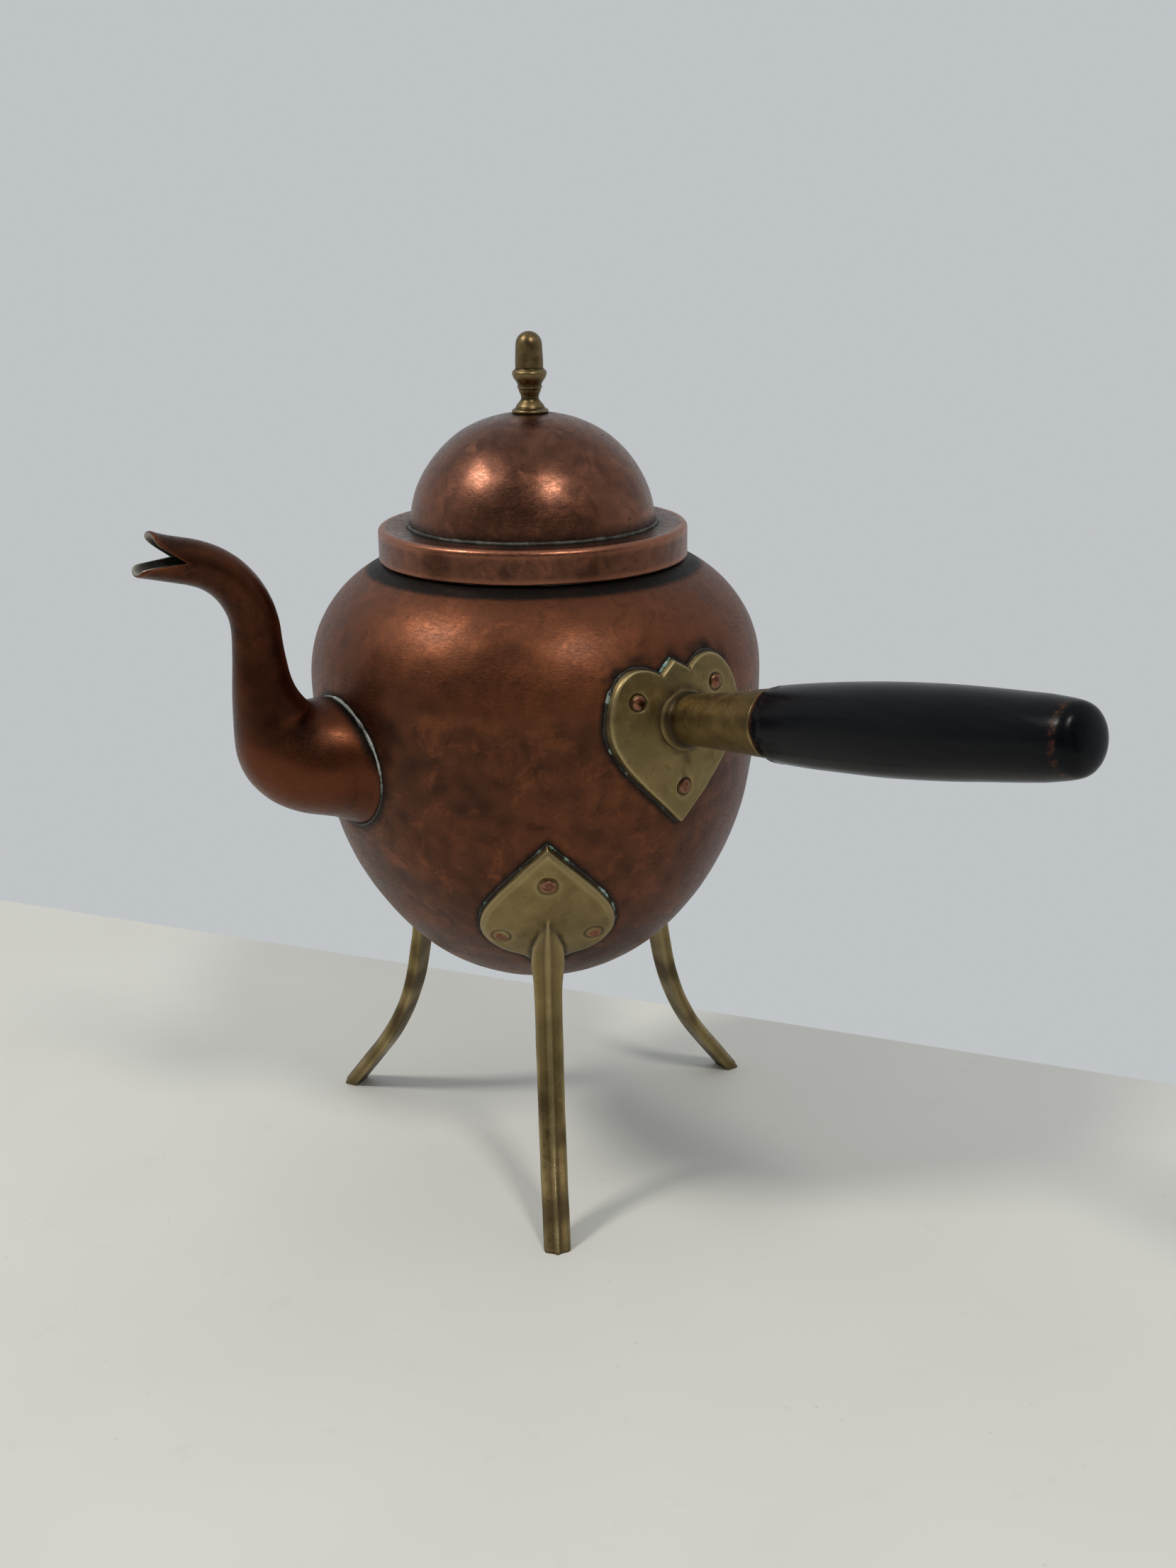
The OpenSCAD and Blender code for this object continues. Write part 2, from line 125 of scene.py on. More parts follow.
def bezier(p, n):
    """n points along the cubic curve of four control points, without its last."""
    out = []
    for i in range(n):
        t = i / n
        s = 1 - t
        out.append(tuple(s ** 3 * a + 3 * s * s * t * b + 3 * s * t * t * c + t ** 3 * d
                         for a, b, c, d in zip(*p)))
    return out


def resample(points, step, closed=False):
    """Points spaced evenly along a polyline."""
    p = np.array(points + points[:1] if closed else points, float)
    d = np.r_[0, np.cumsum(np.linalg.norm(np.diff(p, axis=0), axis=1))]
    n = max(2, int(round(d[-1] / step)))
    t = np.linspace(0, d[-1], n + 1)
    out = np.stack([np.interp(t, d, p[:, k]) for k in range(p.shape[1])], 1)
    return out[:-1] if closed else out


def wobble(points, amount, size, seed=0.0):
    """Smooth noise at each point, in mm, for points in mm."""
    shift = Vector((seed * 7.3, seed * 3.1, -seed * 5.7))
    return np.array([noise.noise(Vector(p) / size + shift) for p in points]) * amount


def shade(me, smooth=True):
    me.polygons.foreach_set("use_smooth", [smooth] * len(me.polygons))


def linked(name, data):
    ob = bpy.data.objects.new(name, data)
    bpy.context.scene.collection.objects.link(ob)
    return ob


def new_object(name, verts, faces, materials, parts=None, smooth=True):
    """A mesh from points in mm; parts gives each face's material number."""
    me = bpy.data.meshes.new(name)
    me.from_pydata([tuple(v) for v in np.asarray(verts, float) * MM], [], faces)
    bm = bmesh.new()
    bm.from_mesh(me)
    bmesh.ops.recalc_face_normals(bm, faces=bm.faces)
    bm.to_mesh(me)
    bm.free()
    for m in materials:
        me.materials.append(m)
    if parts is not None:
        me.polygons.foreach_set("material_index", parts)
    shade(me, smooth)
    me.update()
    return linked(name, me)


def skin_rings(rings, loop=False):
    """Points and faces that join rings of equal length; open ends are closed to their middles."""
    rings = np.asarray(rings, float)
    n, m = rings.shape[:2]
    verts = rings.reshape(-1, 3)
    faces = []
    for i in range(n if loop else n - 1):
        a, b = i * m, (i + 1) % n * m
        faces += [(a + k, a + (k + 1) % m, b + (k + 1) % m, b + k) for k in range(m)]
    if loop:
        return verts, faces
    ends = (0, (n - 1) * m)
    for number, base in enumerate(ends):
        faces += [(base + k, base + (k + 1) % m, n * m + number) for k in range(m)]
    return np.vstack([verts, [verts[base:base + m].mean(0) for base in ends]]), faces


def lathe_rings(profile, n):
    """Rings round Z from (radius, height) pairs."""
    a = np.linspace(0, 2 * math.pi, n, endpoint=False)
    return np.array([[(r * math.cos(t), r * math.sin(t), z) for t in a] for r, z in profile])


def lathe(name, profile, n, material, step, loop=False, place=None):
    """A turned piece; place moves its points to where it stands."""
    v, f = skin_rings(lathe_rings(resample(profile, step, closed=loop), n), loop)
    return new_object(name, place(v) if place else v, f, [material])


def set_attribute(ob, name, values):
    at = ob.data.attributes.get(name) or ob.data.attributes.new(name, "FLOAT", "POINT")
    at.data.foreach_set("value", np.asarray(values, np.float32))


def vertex_values(ob, key):
    values = np.zeros(len(ob.data.vertices) * 3, np.float32)
    ob.data.vertices.foreach_get(key, values)
    return values.reshape(-1, 3).astype(float)


def points_of(ob):
    return vertex_values(ob, "co") / MM


def normals_of(ob):
    return vertex_values(ob, "normal")


def set_points(ob, pts):
    ob.data.vertices.foreach_set("co", (np.asarray(pts, float) * MM).astype(np.float32).ravel())
    ob.data.update()


def move_out(ob, p, amount):
    """Sets the points to p, each moved along its normal by its own amount."""
    set_points(ob, p + normals_of(ob) * amount[:, None])


def push(ob, amount, size, seed):
    """Moves each point along its normal by smooth noise: the unevenness of hand work."""
    p = points_of(ob)
    move_out(ob, p, wobble(p, amount, size, seed))


def wear(ob, rounds=8, full=0.12):
    """Stores how convex ("edge") and how hollow ("crease") each point is, from 0 to 1."""
    me = ob.data
    n = len(me.vertices)
    e = np.zeros(len(me.edges) * 2, np.int32)
    me.edges.foreach_get("vertices", e)
    e = e.reshape(-1, 2)
    both = np.vstack([e, e[:, ::-1]])
    count = np.maximum(np.bincount(both[:, 0], minlength=n), 1)
    p = points_of(ob)
    s = p.copy()
    for _ in range(rounds):
        s = np.stack([np.bincount(both[:, 0], s[both[:, 1], k], minlength=n) / count for k in range(3)], 1)
    h = ((p - s) * normals_of(ob)).sum(1) / full
    set_attribute(ob, "edge", clamp(h))
    set_attribute(ob, "crease", clamp(-h))


def apply_modifiers(ob):
    deps = bpy.context.evaluated_depsgraph_get()
    me = bpy.data.meshes.new_from_object(ob.evaluated_get(deps), depsgraph=deps)
    mats = list(ob.data.materials)
    ob.modifiers.clear()
    ob.data = me
    me.materials.clear()
    for m in mats:
        me.materials.append(m)
    shade(me)
    me.update()


def join(name, obs):
    bm = bmesh.new()
    for o in obs:
        bm.from_mesh(o.data)
    me = bpy.data.meshes.new(name)
    bm.to_mesh(me)
    bm.free()
    for m in obs[0].data.materials:
        me.materials.append(m)
    shade(me)
    for o in obs:
        bpy.data.objects.remove(o)
    return linked(name, me)


def finish_piece(ob, body, slot, *nodes):
    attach(ob, body)
    if nodes:
        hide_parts(*nodes)
    return ob


# ---- materials

def set_range(node, lo, hi, to):
    """Makes a Map Range node go smoothly from to[0] at lo to to[1] at hi."""
    node.interpolation_type = "SMOOTHSTEP"
    for key, v in zip(("From Min", "From Max", "To Min", "To Max"), (lo, hi, *to)):
        node.inputs[key].default_value = v


class Graph:
    """A material made of nodes, with short calls for the nodes used here."""

    def __init__(self, name, metallic, roughness, specular=0.5):
        self.mat = bpy.data.materials.new(name)
        self.mat.use_nodes = True
        self.tree = self.mat.node_tree
        self.shader = next(n for n in self.tree.nodes if n.type == "BSDF_PRINCIPLED")
        self.shader.inputs["Metallic"].default_value = metallic
        self.shader.inputs["Roughness"].default_value = roughness
        self.shader.inputs["Specular IOR Level"].default_value = specular
        self.space = self.tree.nodes.new("ShaderNodeTexCoord").outputs["Object"]

    def put(self, socket, value):
        if isinstance(value, bpy.types.NodeSocket):
            self.tree.links.new(value, socket)
        else:
            if socket.type == "RGBA" and len(value) == 3:
                value = (*value, 1)
            socket.default_value = value

    def node(self, kind, **inputs):
        n = self.tree.nodes.new(kind)
        for k, v in inputs.items():
            self.put(n.inputs[k.replace("_", " ")], v)
        return n

    def stretched(self, x, y, z, turn=(0, 0, 0)):
        m = self.node("ShaderNodeMapping", Vector=self.space)
        m.inputs["Scale"].default_value = (x, y, z)
        m.inputs["Rotation"].default_value = [math.radians(a) for a in turn]
        return m.outputs["Vector"]

    def noise(self, size, detail=4.0, rough=0.55, distort=0.0, space=None):
        """Noise with features about size mm wide."""
        n = self.node("ShaderNodeTexNoise", Vector=space or self.space, Scale=1000 / size, Detail=detail,
                      Roughness=rough, Distortion=distort)
        return n.outputs["Fac"]

    def cells(self, size):
        return self.node("ShaderNodeTexVoronoi", Vector=self.space, Scale=1000 / size).outputs["Distance"]

    def attribute(self, name):
        n = self.tree.nodes.new("ShaderNodeAttribute")
        n.attribute_name = name
        return n.outputs["Fac"]

    def window(self, value, lo, hi, to=(0.0, 1.0)):
        n = self.node("ShaderNodeMapRange", Value=value)
        set_range(n, lo, hi, to)
        return n.outputs["Result"]

    def math(self, op, a, b=0.0):
        n = self.tree.nodes.new("ShaderNodeMath")
        n.operation = op
        n.use_clamp = op == "ADD"
        self.put(n.inputs[0], a)
        self.put(n.inputs[1], b)
        return n.outputs[0]

    def times(self, a, b):
        return self.math("MULTIPLY", a, b)

    def mix(self, share, a, b):
        n = self.tree.nodes.new("ShaderNodeMix")
        n.data_type = "RGBA"
        self.put(n.inputs[0], share)
        self.put(n.inputs[6], a)
        self.put(n.inputs[7], b)
        return n.outputs[2]

    def blend(self, share, a, b):
        n = self.tree.nodes.new("ShaderNodeMix")
        self.put(n.inputs[0], share)
        self.put(n.inputs[2], a)
        self.put(n.inputs[3], b)
        return n.outputs[0]

    def layer(self, color, over, value, lo, hi, amount):
        """Lays the colour over the first by at most amount, as value goes from lo to hi."""
        return self.mix(self.times(self.window(value, lo, hi), amount), color, over)

    def ragged(self, name, noise, amount):
        """The mesh's attribute with an edge broken up by noise."""
        return self.math("ADD", self.attribute(name), self.times(self.math("SUBTRACT", noise, 0.5), amount))

    def worn(self, color, over, name, amount):
        """Lays the colour over the first where the mesh's attribute says, by at most amount."""
        return self.mix(self.times(self.attribute(name), amount), color, over)

    def bump(self, height, depth, strength=1.0, under=None):
        """depth in mm for a height from 0 to 1."""
        n = self.node("ShaderNodeBump", Height=height, Strength=strength, Distance=depth * MM)
        if under is not None:
            self.tree.links.new(under, n.inputs["Normal"])
        return n.outputs["Normal"]

    def done(self, color, roughness=None, normal=None):
        self.put(self.shader.inputs["Base Color"], color)
        if roughness is not None:
            self.put(self.shader.inputs["Roughness"], roughness)
        if normal is not None:
            self.put(self.shader.inputs["Normal"], normal)
        return self.mat


def copper_patina(name, mid, dark, warm, grime_and_shade, brush=1.0, shine=0.0):
    """Old copper: mottled brown, warm where it is rubbed, nearly black beside the fittings where dirt and
    painted shade are laid on.
    """
    g = Graph(name, 1.0, 0.4)
    wide = g.noise(34, 5, 0.6, 0.4)
    medium = g.noise(11, 6, 0.68, 0.8)
    fine = g.noise(2.6, 6, 0.72, 0.2)
    rubbed = g.noise(1.5, 5, 0.7, 0.3, g.stretched(1, 1, 3.2, (0, 18, 30)))
    black = tuple(0.30 * c for c in dark)
    color = g.mix(g.window(wide, 0.38, 0.60), dark, mid)
    color = g.layer(color, warm, medium, 0.51, 0.66, 0.9)
    color = g.layer(color, dark, g.noise(6.5, 6, 0.72, 1.4), 0.52, 0.62, 0.8)
    color = g.layer(color, black, g.noise(19, 6, 0.7, 1.0), 0.54, 0.66, 0.5)
    color = g.layer(color, warm, fine, 0.56, 0.74, 0.35)
    color = g.layer(color, black, fine, 0.46, 0.30, 0.55)
    flecks = g.times(g.window(g.cells(2.3), 0.14, 0.05), g.window(g.noise(9, 3), 0.54, 0.66))
    color = g.mix(g.times(flecks, 0.8), color, black)
    color = g.worn(color, tuple(1.9 * c for c in warm), "edge", 0.6)
    color = g.worn(color, grime_and_shade, "crease", 0.7)
    dirt_and_shade = g.ragged("grime_and_shade", fine, 0.5)
    # Nearly black where the mesh's mask lays dirt and painted shade.
    color = g.mix(g.window(dirt_and_shade, 0.25, 0.8), color, grime_and_shade)
    rough = g.blend(g.window(rubbed, 0.35, 0.68), 0.28 - shine, 0.45 - shine)
    rough = g.math("ADD", rough, g.times(g.window(wide, 0.40, 0.62), 0.05))
    rough = g.math("ADD", rough, g.times(g.attribute("grime_and_shade"), 0.22))
    g.shader.inputs["Coat Weight"].default_value = 0.09
    g.shader.inputs["Coat Roughness"].default_value = 0.30
    n = g.bump(rubbed, 0.05 * brush, 0.9)
    n = g.bump(fine, 0.07 * brush, 0.6, n)
    return g.done(color, rough, n)


def tinned(name):
    g = Graph(name, 0.85, 0.42)
    n1 = g.noise(7, 6, 0.65, 0.5)
    n2 = g.noise(1.6, 5, 0.7)
    color = g.mix(g.window(n1, 0.38, 0.66), (0.10, 0.09, 0.08), (0.27, 0.26, 0.24))
    color = g.layer(color, (0.05, 0.045, 0.04), n2, 0.55, 0.7, 0.6)
    color = g.worn(color, (0.38, 0.35, 0.30), "edge", 0.7)
    return g.done(color, g.window(n2, 0.3, 0.7, (0.34, 0.58)), g.bump(n2, 0.12, 0.7))


def brass_antique(name, mid=(0.255, 0.185, 0.078), bright=(0.42, 0.33, 0.165), dark=(0.085, 0.062, 0.030)):
    """Cast brass with an olive skin, bright on its edges and dark in its hollows."""
    g = Graph(name, 1.0, 0.36)
    wide = g.noise(16, 5, 0.6, 0.5)
    medium = g.noise(4.5, 6, 0.68, 0.6)
    fine = g.noise(0.9, 5, 0.7)
    color = g.mix(g.window(wide, 0.36, 0.66), tuple(0.74 * c for c in mid), mid)
    color = g.layer(color, bright, medium, 0.52, 0.72, 0.35)
    color = g.layer(color, dark, medium, 0.44, 0.30, 0.55)
    pits = g.times(g.window(g.cells(1.9), 0.14, 0.05), g.window(g.noise(6, 3), 0.54, 0.66))
    color = g.mix(g.times(pits, 0.8), color, (0.035, 0.024, 0.014))
    color = g.worn(color, bright, "edge", 0.65)
    color = g.worn(color, (0.045, 0.033, 0.020), "crease", 0.85)
    # Darker where the mesh's mask lays dirt, and painted shade on the socket's underside.
    color = g.mix(g.attribute("grime_and_shade"), color, (0.040, 0.026, 0.016))
    rough = g.window(medium, 0.3, 0.7, (0.34, 0.50))
    rough = g.math("ADD", rough, g.times(g.attribute("grime_and_shade"), 0.2))
    n = g.bump(fine, 0.05, 0.6)
    n = g.bump(medium, 0.10, 0.5, n)
    n = g.bump(pits, -0.12, 0.7, n)
    return g.done(color, rough, n)


def turned_brass(name):
    """The knob's brass, with fine rings left by the lathe."""
    g = Graph(name, 1.0, 0.3)
    medium = g.noise(3.2, 5, 0.6, 0.4)
    rings = g.noise(0.35, 3, 0.6, 0.0, g.stretched(0.04, 0.04, 1.0))
    color = g.mix(g.window(medium, 0.35, 0.68), (0.115, 0.078, 0.032), (0.195, 0.138, 0.064))
    color = g.worn(color, (0.30, 0.22, 0.11), "edge", 0.5)
    color = g.worn(color, (0.035, 0.024, 0.012), "crease", 0.9)
    return g.done(color, g.window(medium, 0.3, 0.7, (0.32, 0.46)), g.bump(rings, 0.03, 0.8))


def rivet_metal(name):
    g = Graph(name, 1.0, 0.36)
    n1 = g.noise(1.5, 5, 0.65, 0.4)
    color = g.mix(g.window(n1, 0.38, 0.64), (0.13, 0.055, 0.032), (0.27, 0.115, 0.070))
    color = g.worn(color, (0.42, 0.20, 0.13), "edge", 0.4)
    color = g.worn(color, (0.035, 0.018, 0.012), "crease", 0.8)
    return g.done(color, g.window(n1, 0.3, 0.7, (0.26, 0.44)), g.bump(n1, 0.12, 0.7))


def blackened_wood(name):
    """Ebonised wood: nearly black, faint long grain, brown where the black has gone."""
    g = Graph(name, 0.0, 0.26, 0.12)
    grain = g.noise(1.6, 6, 0.65, 0.5, g.stretched(1.0, 0.06, 1.0, (10.5, 0, 0)))
    broad = g.noise(16, 4, 0.55, 0.3)
    color = g.mix(g.window(grain, 0.35, 0.7), (0.0014, 0.0020, 0.0034), (0.0030, 0.0038, 0.0060))
    color = g.layer(color, (0.0075, 0.0070, 0.0080), broad, 0.55, 0.72, 0.4)
    bare = g.window(g.ragged("bare", g.noise(3.0, 5, 0.7, 0.8), 0.9), 0.42, 0.72)
    brown = g.mix(g.window(g.noise(1.1, 5, 0.7), 0.36, 0.66), (0.014, 0.006, 0.004), (0.105, 0.034, 0.016))
    color = g.mix(bare, color, brown)
    rough = g.math("ADD", g.window(grain, 0.3, 0.7, (0.20, 0.29)), g.times(bare, 0.16))
    n = g.bump(grain, 0.05, 0.6)
    n = g.bump(g.noise(0.5, 4, 0.6, 0.0, g.stretched(1.0, 0.05, 1.0, (10.5, 0, 0))), 0.02, 0.5, n)
    return g.done(color, rough, n)


def old_solder(name, pale=(0.50, 0.52, 0.49), dull=(0.14, 0.125, 0.105), cover=0.5):
    g = Graph(name, 0.35, 0.5)
    n1 = g.noise(4.0, 5, 0.65, 0.5)
    n2 = g.noise(0.9, 4, 0.7)
    color = g.mix(g.window(n1, cover - 0.10, cover + 0.10), pale, dull)
    color = g.layer(color, tuple(0.35 * c for c in dull), n2, 0.52, 0.68, 0.55)
    color = g.worn(color, (0.022, 0.016, 0.012), "grime_and_shade", 0.92)
    return g.done(color, 0.52, g.bump(n2, 0.18, 0.8))


def verdigris(name):
    """Crust along the edges of the fittings: black-brown dirt with pale green and white salts."""
    g = Graph(name, 0.0, 0.75)
    n1 = g.noise(7.0, 4, 0.6, 0.8)
    n2 = g.noise(1.2, 5, 0.7)
    salts = g.mix(g.window(n2, 0.42, 0.6), (0.20, 0.42, 0.36), (0.52, 0.60, 0.54))
    color = g.mix(g.window(n1, 0.55, 0.66), (0.022, 0.018, 0.014), salts)
    color = g.layer(color, (0.03, 0.028, 0.02), n2, 0.5, 0.66, 0.5)
    return g.done(color, 0.75, g.bump(n2, 0.3, 0.9))


COPPER_BODY = copper_patina(
    "copper_body", (0.080, 0.030, 0.016), (0.026, 0.013, 0.010), (0.148, 0.050, 0.022),
    (0.017, 0.014, 0.012), 1.4, -0.07)
COPPER_SPOUT = copper_patina(
    "copper_spout", (0.060, 0.018, 0.008), (0.030, 0.012, 0.007), (0.090, 0.027, 0.011),
    (0.016, 0.013, 0.011), 0.7, -0.02)
COPPER_LID = copper_patina(
    "copper_lid", (0.160, 0.066, 0.041), (0.062, 0.028, 0.020), (0.225, 0.090, 0.051),
    (0.032, 0.026, 0.022), 0.9, 0.04)
TIN = tinned("tin_inside")
BRASS = brass_antique("brass_antique")
BRASS_TUBE = brass_antique("brass_tube", (0.215, 0.148, 0.055), (0.34, 0.25, 0.11), (0.07, 0.048, 0.022))
BRASS_KNOB = turned_brass("brass_turned")
RIVET = rivet_metal("rivet_copper")
WOOD = blackened_wood("blackened_wood")
SOLDER = old_solder("old_solder", cover=0.56)
SOLDER_LID = old_solder("lid_solder", (0.085, 0.088, 0.072), (0.030, 0.026, 0.021), 0.5)
CRUST = verdigris("verdigris")


# ---- placing the fittings

HANDLE_ANGLE = 94.0
PLATE_Y, PLATE_Z = 70.7, 148.0
PLATE_ROLL = 2.7
SPADE_AT = (60.0, 100.0)
SPADE_TILT = 28.0


def turned(points, azimuth):
    c, s = cos(azimuth), sin(azimuth)
    p = np.asarray(points, float)
    return np.stack([p[:, 0] * c - p[:, 1] * s, p[:, 0] * s + p[:, 1] * c, p[:, 2]], 1)


def handle_side(points):
    """Kettle points seen as if the handle stood exactly at +Y."""
    return turned(points, 90 - HANDLE_ANGLE)


def on_plate(uvw):
    """Heart plate's own frame (across, up, out) to the kettle's, in mm."""
    u, v, w = np.asarray(uvw, float).T
    s, c = sin(PLATE_ROLL), cos(PLATE_ROLL)
    p = np.stack([-(u * c - v * s), PLATE_Y + w, PLATE_Z + u * s + v * c], 1)
    return turned(p, HANDLE_ANGLE - 90)


def on_spade(uvw):
    """A leg plate's own frame to the kettle's, for the leg towards +X."""
    u, v, w = np.asarray(uvw, float).T
    s, c = sin(SPADE_TILT), cos(SPADE_TILT)
    return np.stack([SPADE_AT[0] + s * v + c * w, u, SPADE_AT[1] + c * v - s * w], 1)


def depth_to_body(place, uv, sink):
    """How far below the plate's plane the body's surface, sunk by sink mm, lies under each point."""
    uv = np.asarray(uv, float)
    lo, hi = np.full(len(uv), -3.0), np.full(len(uv), 16.0)
    for _ in range(34):
        t = (lo + hi) / 2
        p = place(np.column_stack([uv, -t]))
        outside = np.hypot(p[:, 0], p[:, 1]) - body_rho(p[:, 2]) + sink > 0
        lo, hi = np.where(outside, t, lo), np.where(outside, hi, t)
    return (lo + hi) / 2


HEART_HALF = ([(0, 25.1)] + bezier([(5.2, 21.7), (6.6, 23.0), (9.4, 24.5), (12.4, 24.5)], 14)
              + bezier([(12.4, 24.5), (19.2, 24.5), (23.1, 16.2), (23.1, 9.3)], 24)
              + bezier([(23.1, 9.3), (23.1, -0.6), (11.9, -10.2), (0.8, -22.2)], 40)
              + [(0.8, -22.2), (0, -22.8)])
SPADE_HALF = (bezier([(0, 22.8), (9.5, 13.2), (19.6, 2.5), (19.6, -8)], 34)
              + bezier([(19.6, -8), (19.6, -13.5), (16.2, -20), (9.5, -22.6)], 20)
              + bezier([(9.5, -22.6), (6.8, -23.7), (5.2, -25.2), (4.4, -28)], 8) + [(4.4, -28)])


def whole(half):
    return half + [(-u, v) for u, v in reversed(half) if abs(u) > 0.001]


# A plate's frame, outline, rivets, the radius that its face is dished to, the point its rings
# shrink to, the ring pressed round each rivet, how far its edge is rounded or bevelled, and mesh step.
Plate = namedtuple("Plate", "place outline rivets dish centre pit_r soft bevel step")
HEART = Plate(on_plate, whole(HEART_HALF), [(-14.0, 16.0), (14.0, 16.0), (0.0, -11.5)], 102.0, (0, 8),
              2.3, 0.62, None, 0.36)
SPADE = Plate(on_spade, whole(SPADE_HALF), [(0.0, 10.9), (-13.5, -11.4), (13.5, -11.4)], 85.0, (0, 0),
              2.75, 0.75, 1.35, 0.45)


# ---- copper body

def near_outline(points, plate, reach, azimuth=0.0):
    """From 1 at a plate's outline on the body to 0 at reach mm away, for body points."""
    uv = resample(plate.outline, 1.2, closed=True)
    foot = plate.place(np.column_stack([uv, -depth_to_body(plate.place, uv, 0.0)]))
    foot = turned(foot, azimuth)
    out = np.zeros(len(points))
    lo, hi = foot.min(0) - reach, foot.max(0) + reach
    pick = np.where(((points > lo) & (points < hi)).all(1))[0]
    for block in np.array_split(pick, max(1, len(pick) // 2000)):
        d = np.linalg.norm(points[block][:, None] - foot[None], axis=2).min(1)
        out[block] = clamp(1 - d / reach)
    return out


def body_shell():
    outer = resample(body_outline(0, NECK_R), 1.0)
    inner = resample(body_outline(-WALL, NECK_R - 0.3), 2.4)[::-1]
    around = 400
    rings = np.concatenate([lathe_rings(outer, around), lathe_rings(inner, around)])
    v, f = skin_rings(rings)
    sides = (len(rings) - 1) * around
    parts = [int(len(outer) * around <= i < sides or i >= sides + around) for i in range(len(f))]
    ob = new_object("body", v, f, [COPPER_BODY, TIN], parts)
    p = points_of(ob)
    fade = clamp((NECK_Z - p[:, 2]) / 12)
    move_out(ob, p, (wobble(p, 0.16, 17, 1) + wobble(p, 0.07, 6, 2)) * fade)
    p = points_of(ob)
    z = p[:, 2]
    # low_shade_top is the height below which the lower body gets painted shade.
    under_lid, low_shade_top = 188.8, 72
    ragged = np.clip(0.8 + wobble(p, 0.8, 5.0, 11), 0.2, 1)
    above = clamp((z - 158) / 12)
    seam = np.abs(np.hypot(p[:, 1], z - SPOUT_Z) - seam_radius())
    # Darkening of the body, dirt and painted shade together. The first entry is painted shade on the shoulder
    # just under the lid band.
    dirt_and_shade = [clamp((z - under_lid) / 1.4) * 0.8,
            # dirt and painted shadow in the gap round the heart plate
            near_outline(p, HEART, 3.4) * 0.95,
            # painted shadow above the heart plate's upper edge, broken up by noise
            near_outline(p, HEART, 8.0) * above * ragged * 0.85,
            np.where(p[:, 0] > 0, clamp(1 - seam / 4.5), 0) * 0.8,
            # painted shade over the lower body
            clamp((low_shade_top - z) / 14) * 0.55]
    dirt_and_shade += [near_outline(p, SPADE, 3.6, a) * 0.9 for a in LEG_AZIMUTHS.values()]
    set_attribute(ob, "grime_and_shade", np.maximum.reduce(dirt_and_shade))
    cut = spout_hole_cutter()
    mod = ob.modifiers.new("hole", "BOOLEAN")
    mod.operation = "DIFFERENCE"
    mod.solver = "EXACT"
    mod.object = cut
    apply_modifiers(ob)
    bpy.data.objects.remove(cut)
    wear(ob)
    finish_piece(ob, "kettle", "copper", "body_shell")


def spout_hole_cutter():
    r, half_length = 12.0, 15.0
    v, f = skin_rings(lathe_rings([(r, -half_length), (r, half_length)], 64))
    ob = new_object("spout_hole", v, f, [TIN])
    at = (67 * MM, 0, SPOUT_Z * MM)
    ob.matrix_world = Matrix.Translation(at) @ Matrix.Rotation(math.radians(90), 4, "Y")
    return ob


def neck_collar():
    foot = COLLAR_LO[2]
    r, t = NECK_R, WALL
    top = COLLAR_TOP - 0.05
    profile = ([(r - t, foot), (r - 0.02, foot), (r - 0.02, top - 0.5)]
               + [(r - 0.62 + 0.6 * cos(a), top - 0.6 + 0.6 * sin(a)) for a in range(15, 180, 15)]
               + [(r - t, top - 0.7)])
    ob = lathe("collar", profile, 240, TIN, 0.5, loop=True)
    push(ob, 0.06, 9, 4)
    wear(ob)
    set_attribute(ob, "grime_and_shade", np.zeros(len(ob.data.vertices)))
    finish_piece(ob, "kettle", "copper", "neck_collar")


# ---- spout

SPOUT_Z = 139.7
SPOUT_X = 62.0
SPOUT_WALL = 1.1
STRETCHES = [(14.9, 14.5, 14.5), (13.25, 14.5, 65.2), (19.4, 65.2, 88.0), (11.2, 88.0, 88.0),
             (27.1, 88.0, 22.1), (4.9, 22.1, 14.5), (24.0, 14.5, 14.5)]
MOUTH_R = 6.2
MOUTH_L = sum(s[0] for s in STRETCHES[:6]) + 1.6
LIP_TOP, LIP_LOW = 9.3, 11.4
ROOT_END, SWEEP_END = 9.0, 34.0


def spout_path():
    """Centreline points and headings every quarter of a millimetre."""
    out = []
    p = np.array([SPOUT_X, SPOUT_Z])
    step = 0.25
    l = 0.0
    total = sum(s[0] for s in STRETCHES)
    while l < total:
        a, at = None, 0.0
        for length, h0, h1 in STRETCHES:
            if l <= at + length:
                a = h0 + (h1 - h0) * (l - at) / length
                break
            at += length
        out.append((l, p[0], p[1], a))
        p = p + step * np.array([cos(a), sin(a)])
        l += step
    path = np.array(out)
    soft = np.convolve(np.pad(path[:, 3], 12, "edge"), np.ones(25) / 25, "valid")
    path[:, 3] = soft
    return path


SPOUT_PATH = spout_path()


def spout_radius(l):
    return MOUTH_R + 11 / (1 + np.exp((l - 25.2) / 4.37)) ** 0.366 + 1.85 * np.exp(-l / 8.2)


def seam_radius():
    return float(spout_radius(0)) + 0.15


def tube_points(l, f, inset):
    """Points on the spout for arrays of lengths and angles from the top, in degrees."""
    x, z, a = (np.interp(l, SPOUT_PATH[:, 0], SPOUT_PATH[:, k]) for k in (1, 2, 3))
    h = np.radians(a * np.minimum(1, l / 24))
    r = spout_radius(l) - inset
    t = np.radians(f)
    return np.stack([x - r * np.cos(t) * np.sin(h), r * np.sin(t), z + r * np.cos(t) * np.cos(h)], -1)


def root_points(f, r):
    t = np.radians(f)
    z, y = SPOUT_Z + r * np.cos(t), r * np.sin(t)
    return np.stack([np.sqrt(body_rho(z) ** 2 - y * y) - 0.35, y, z], -1)


def lip_length(f):
    """How far each side of the split beak runs past its corner: straight cut edges, blunt tips."""
    c = np.cos(np.radians(f))
    k = 1.55 * np.abs(c)
    return np.where(c > 0, LIP_TOP, LIP_LOW) * k / (1 + k ** 8) ** (1 / 8)


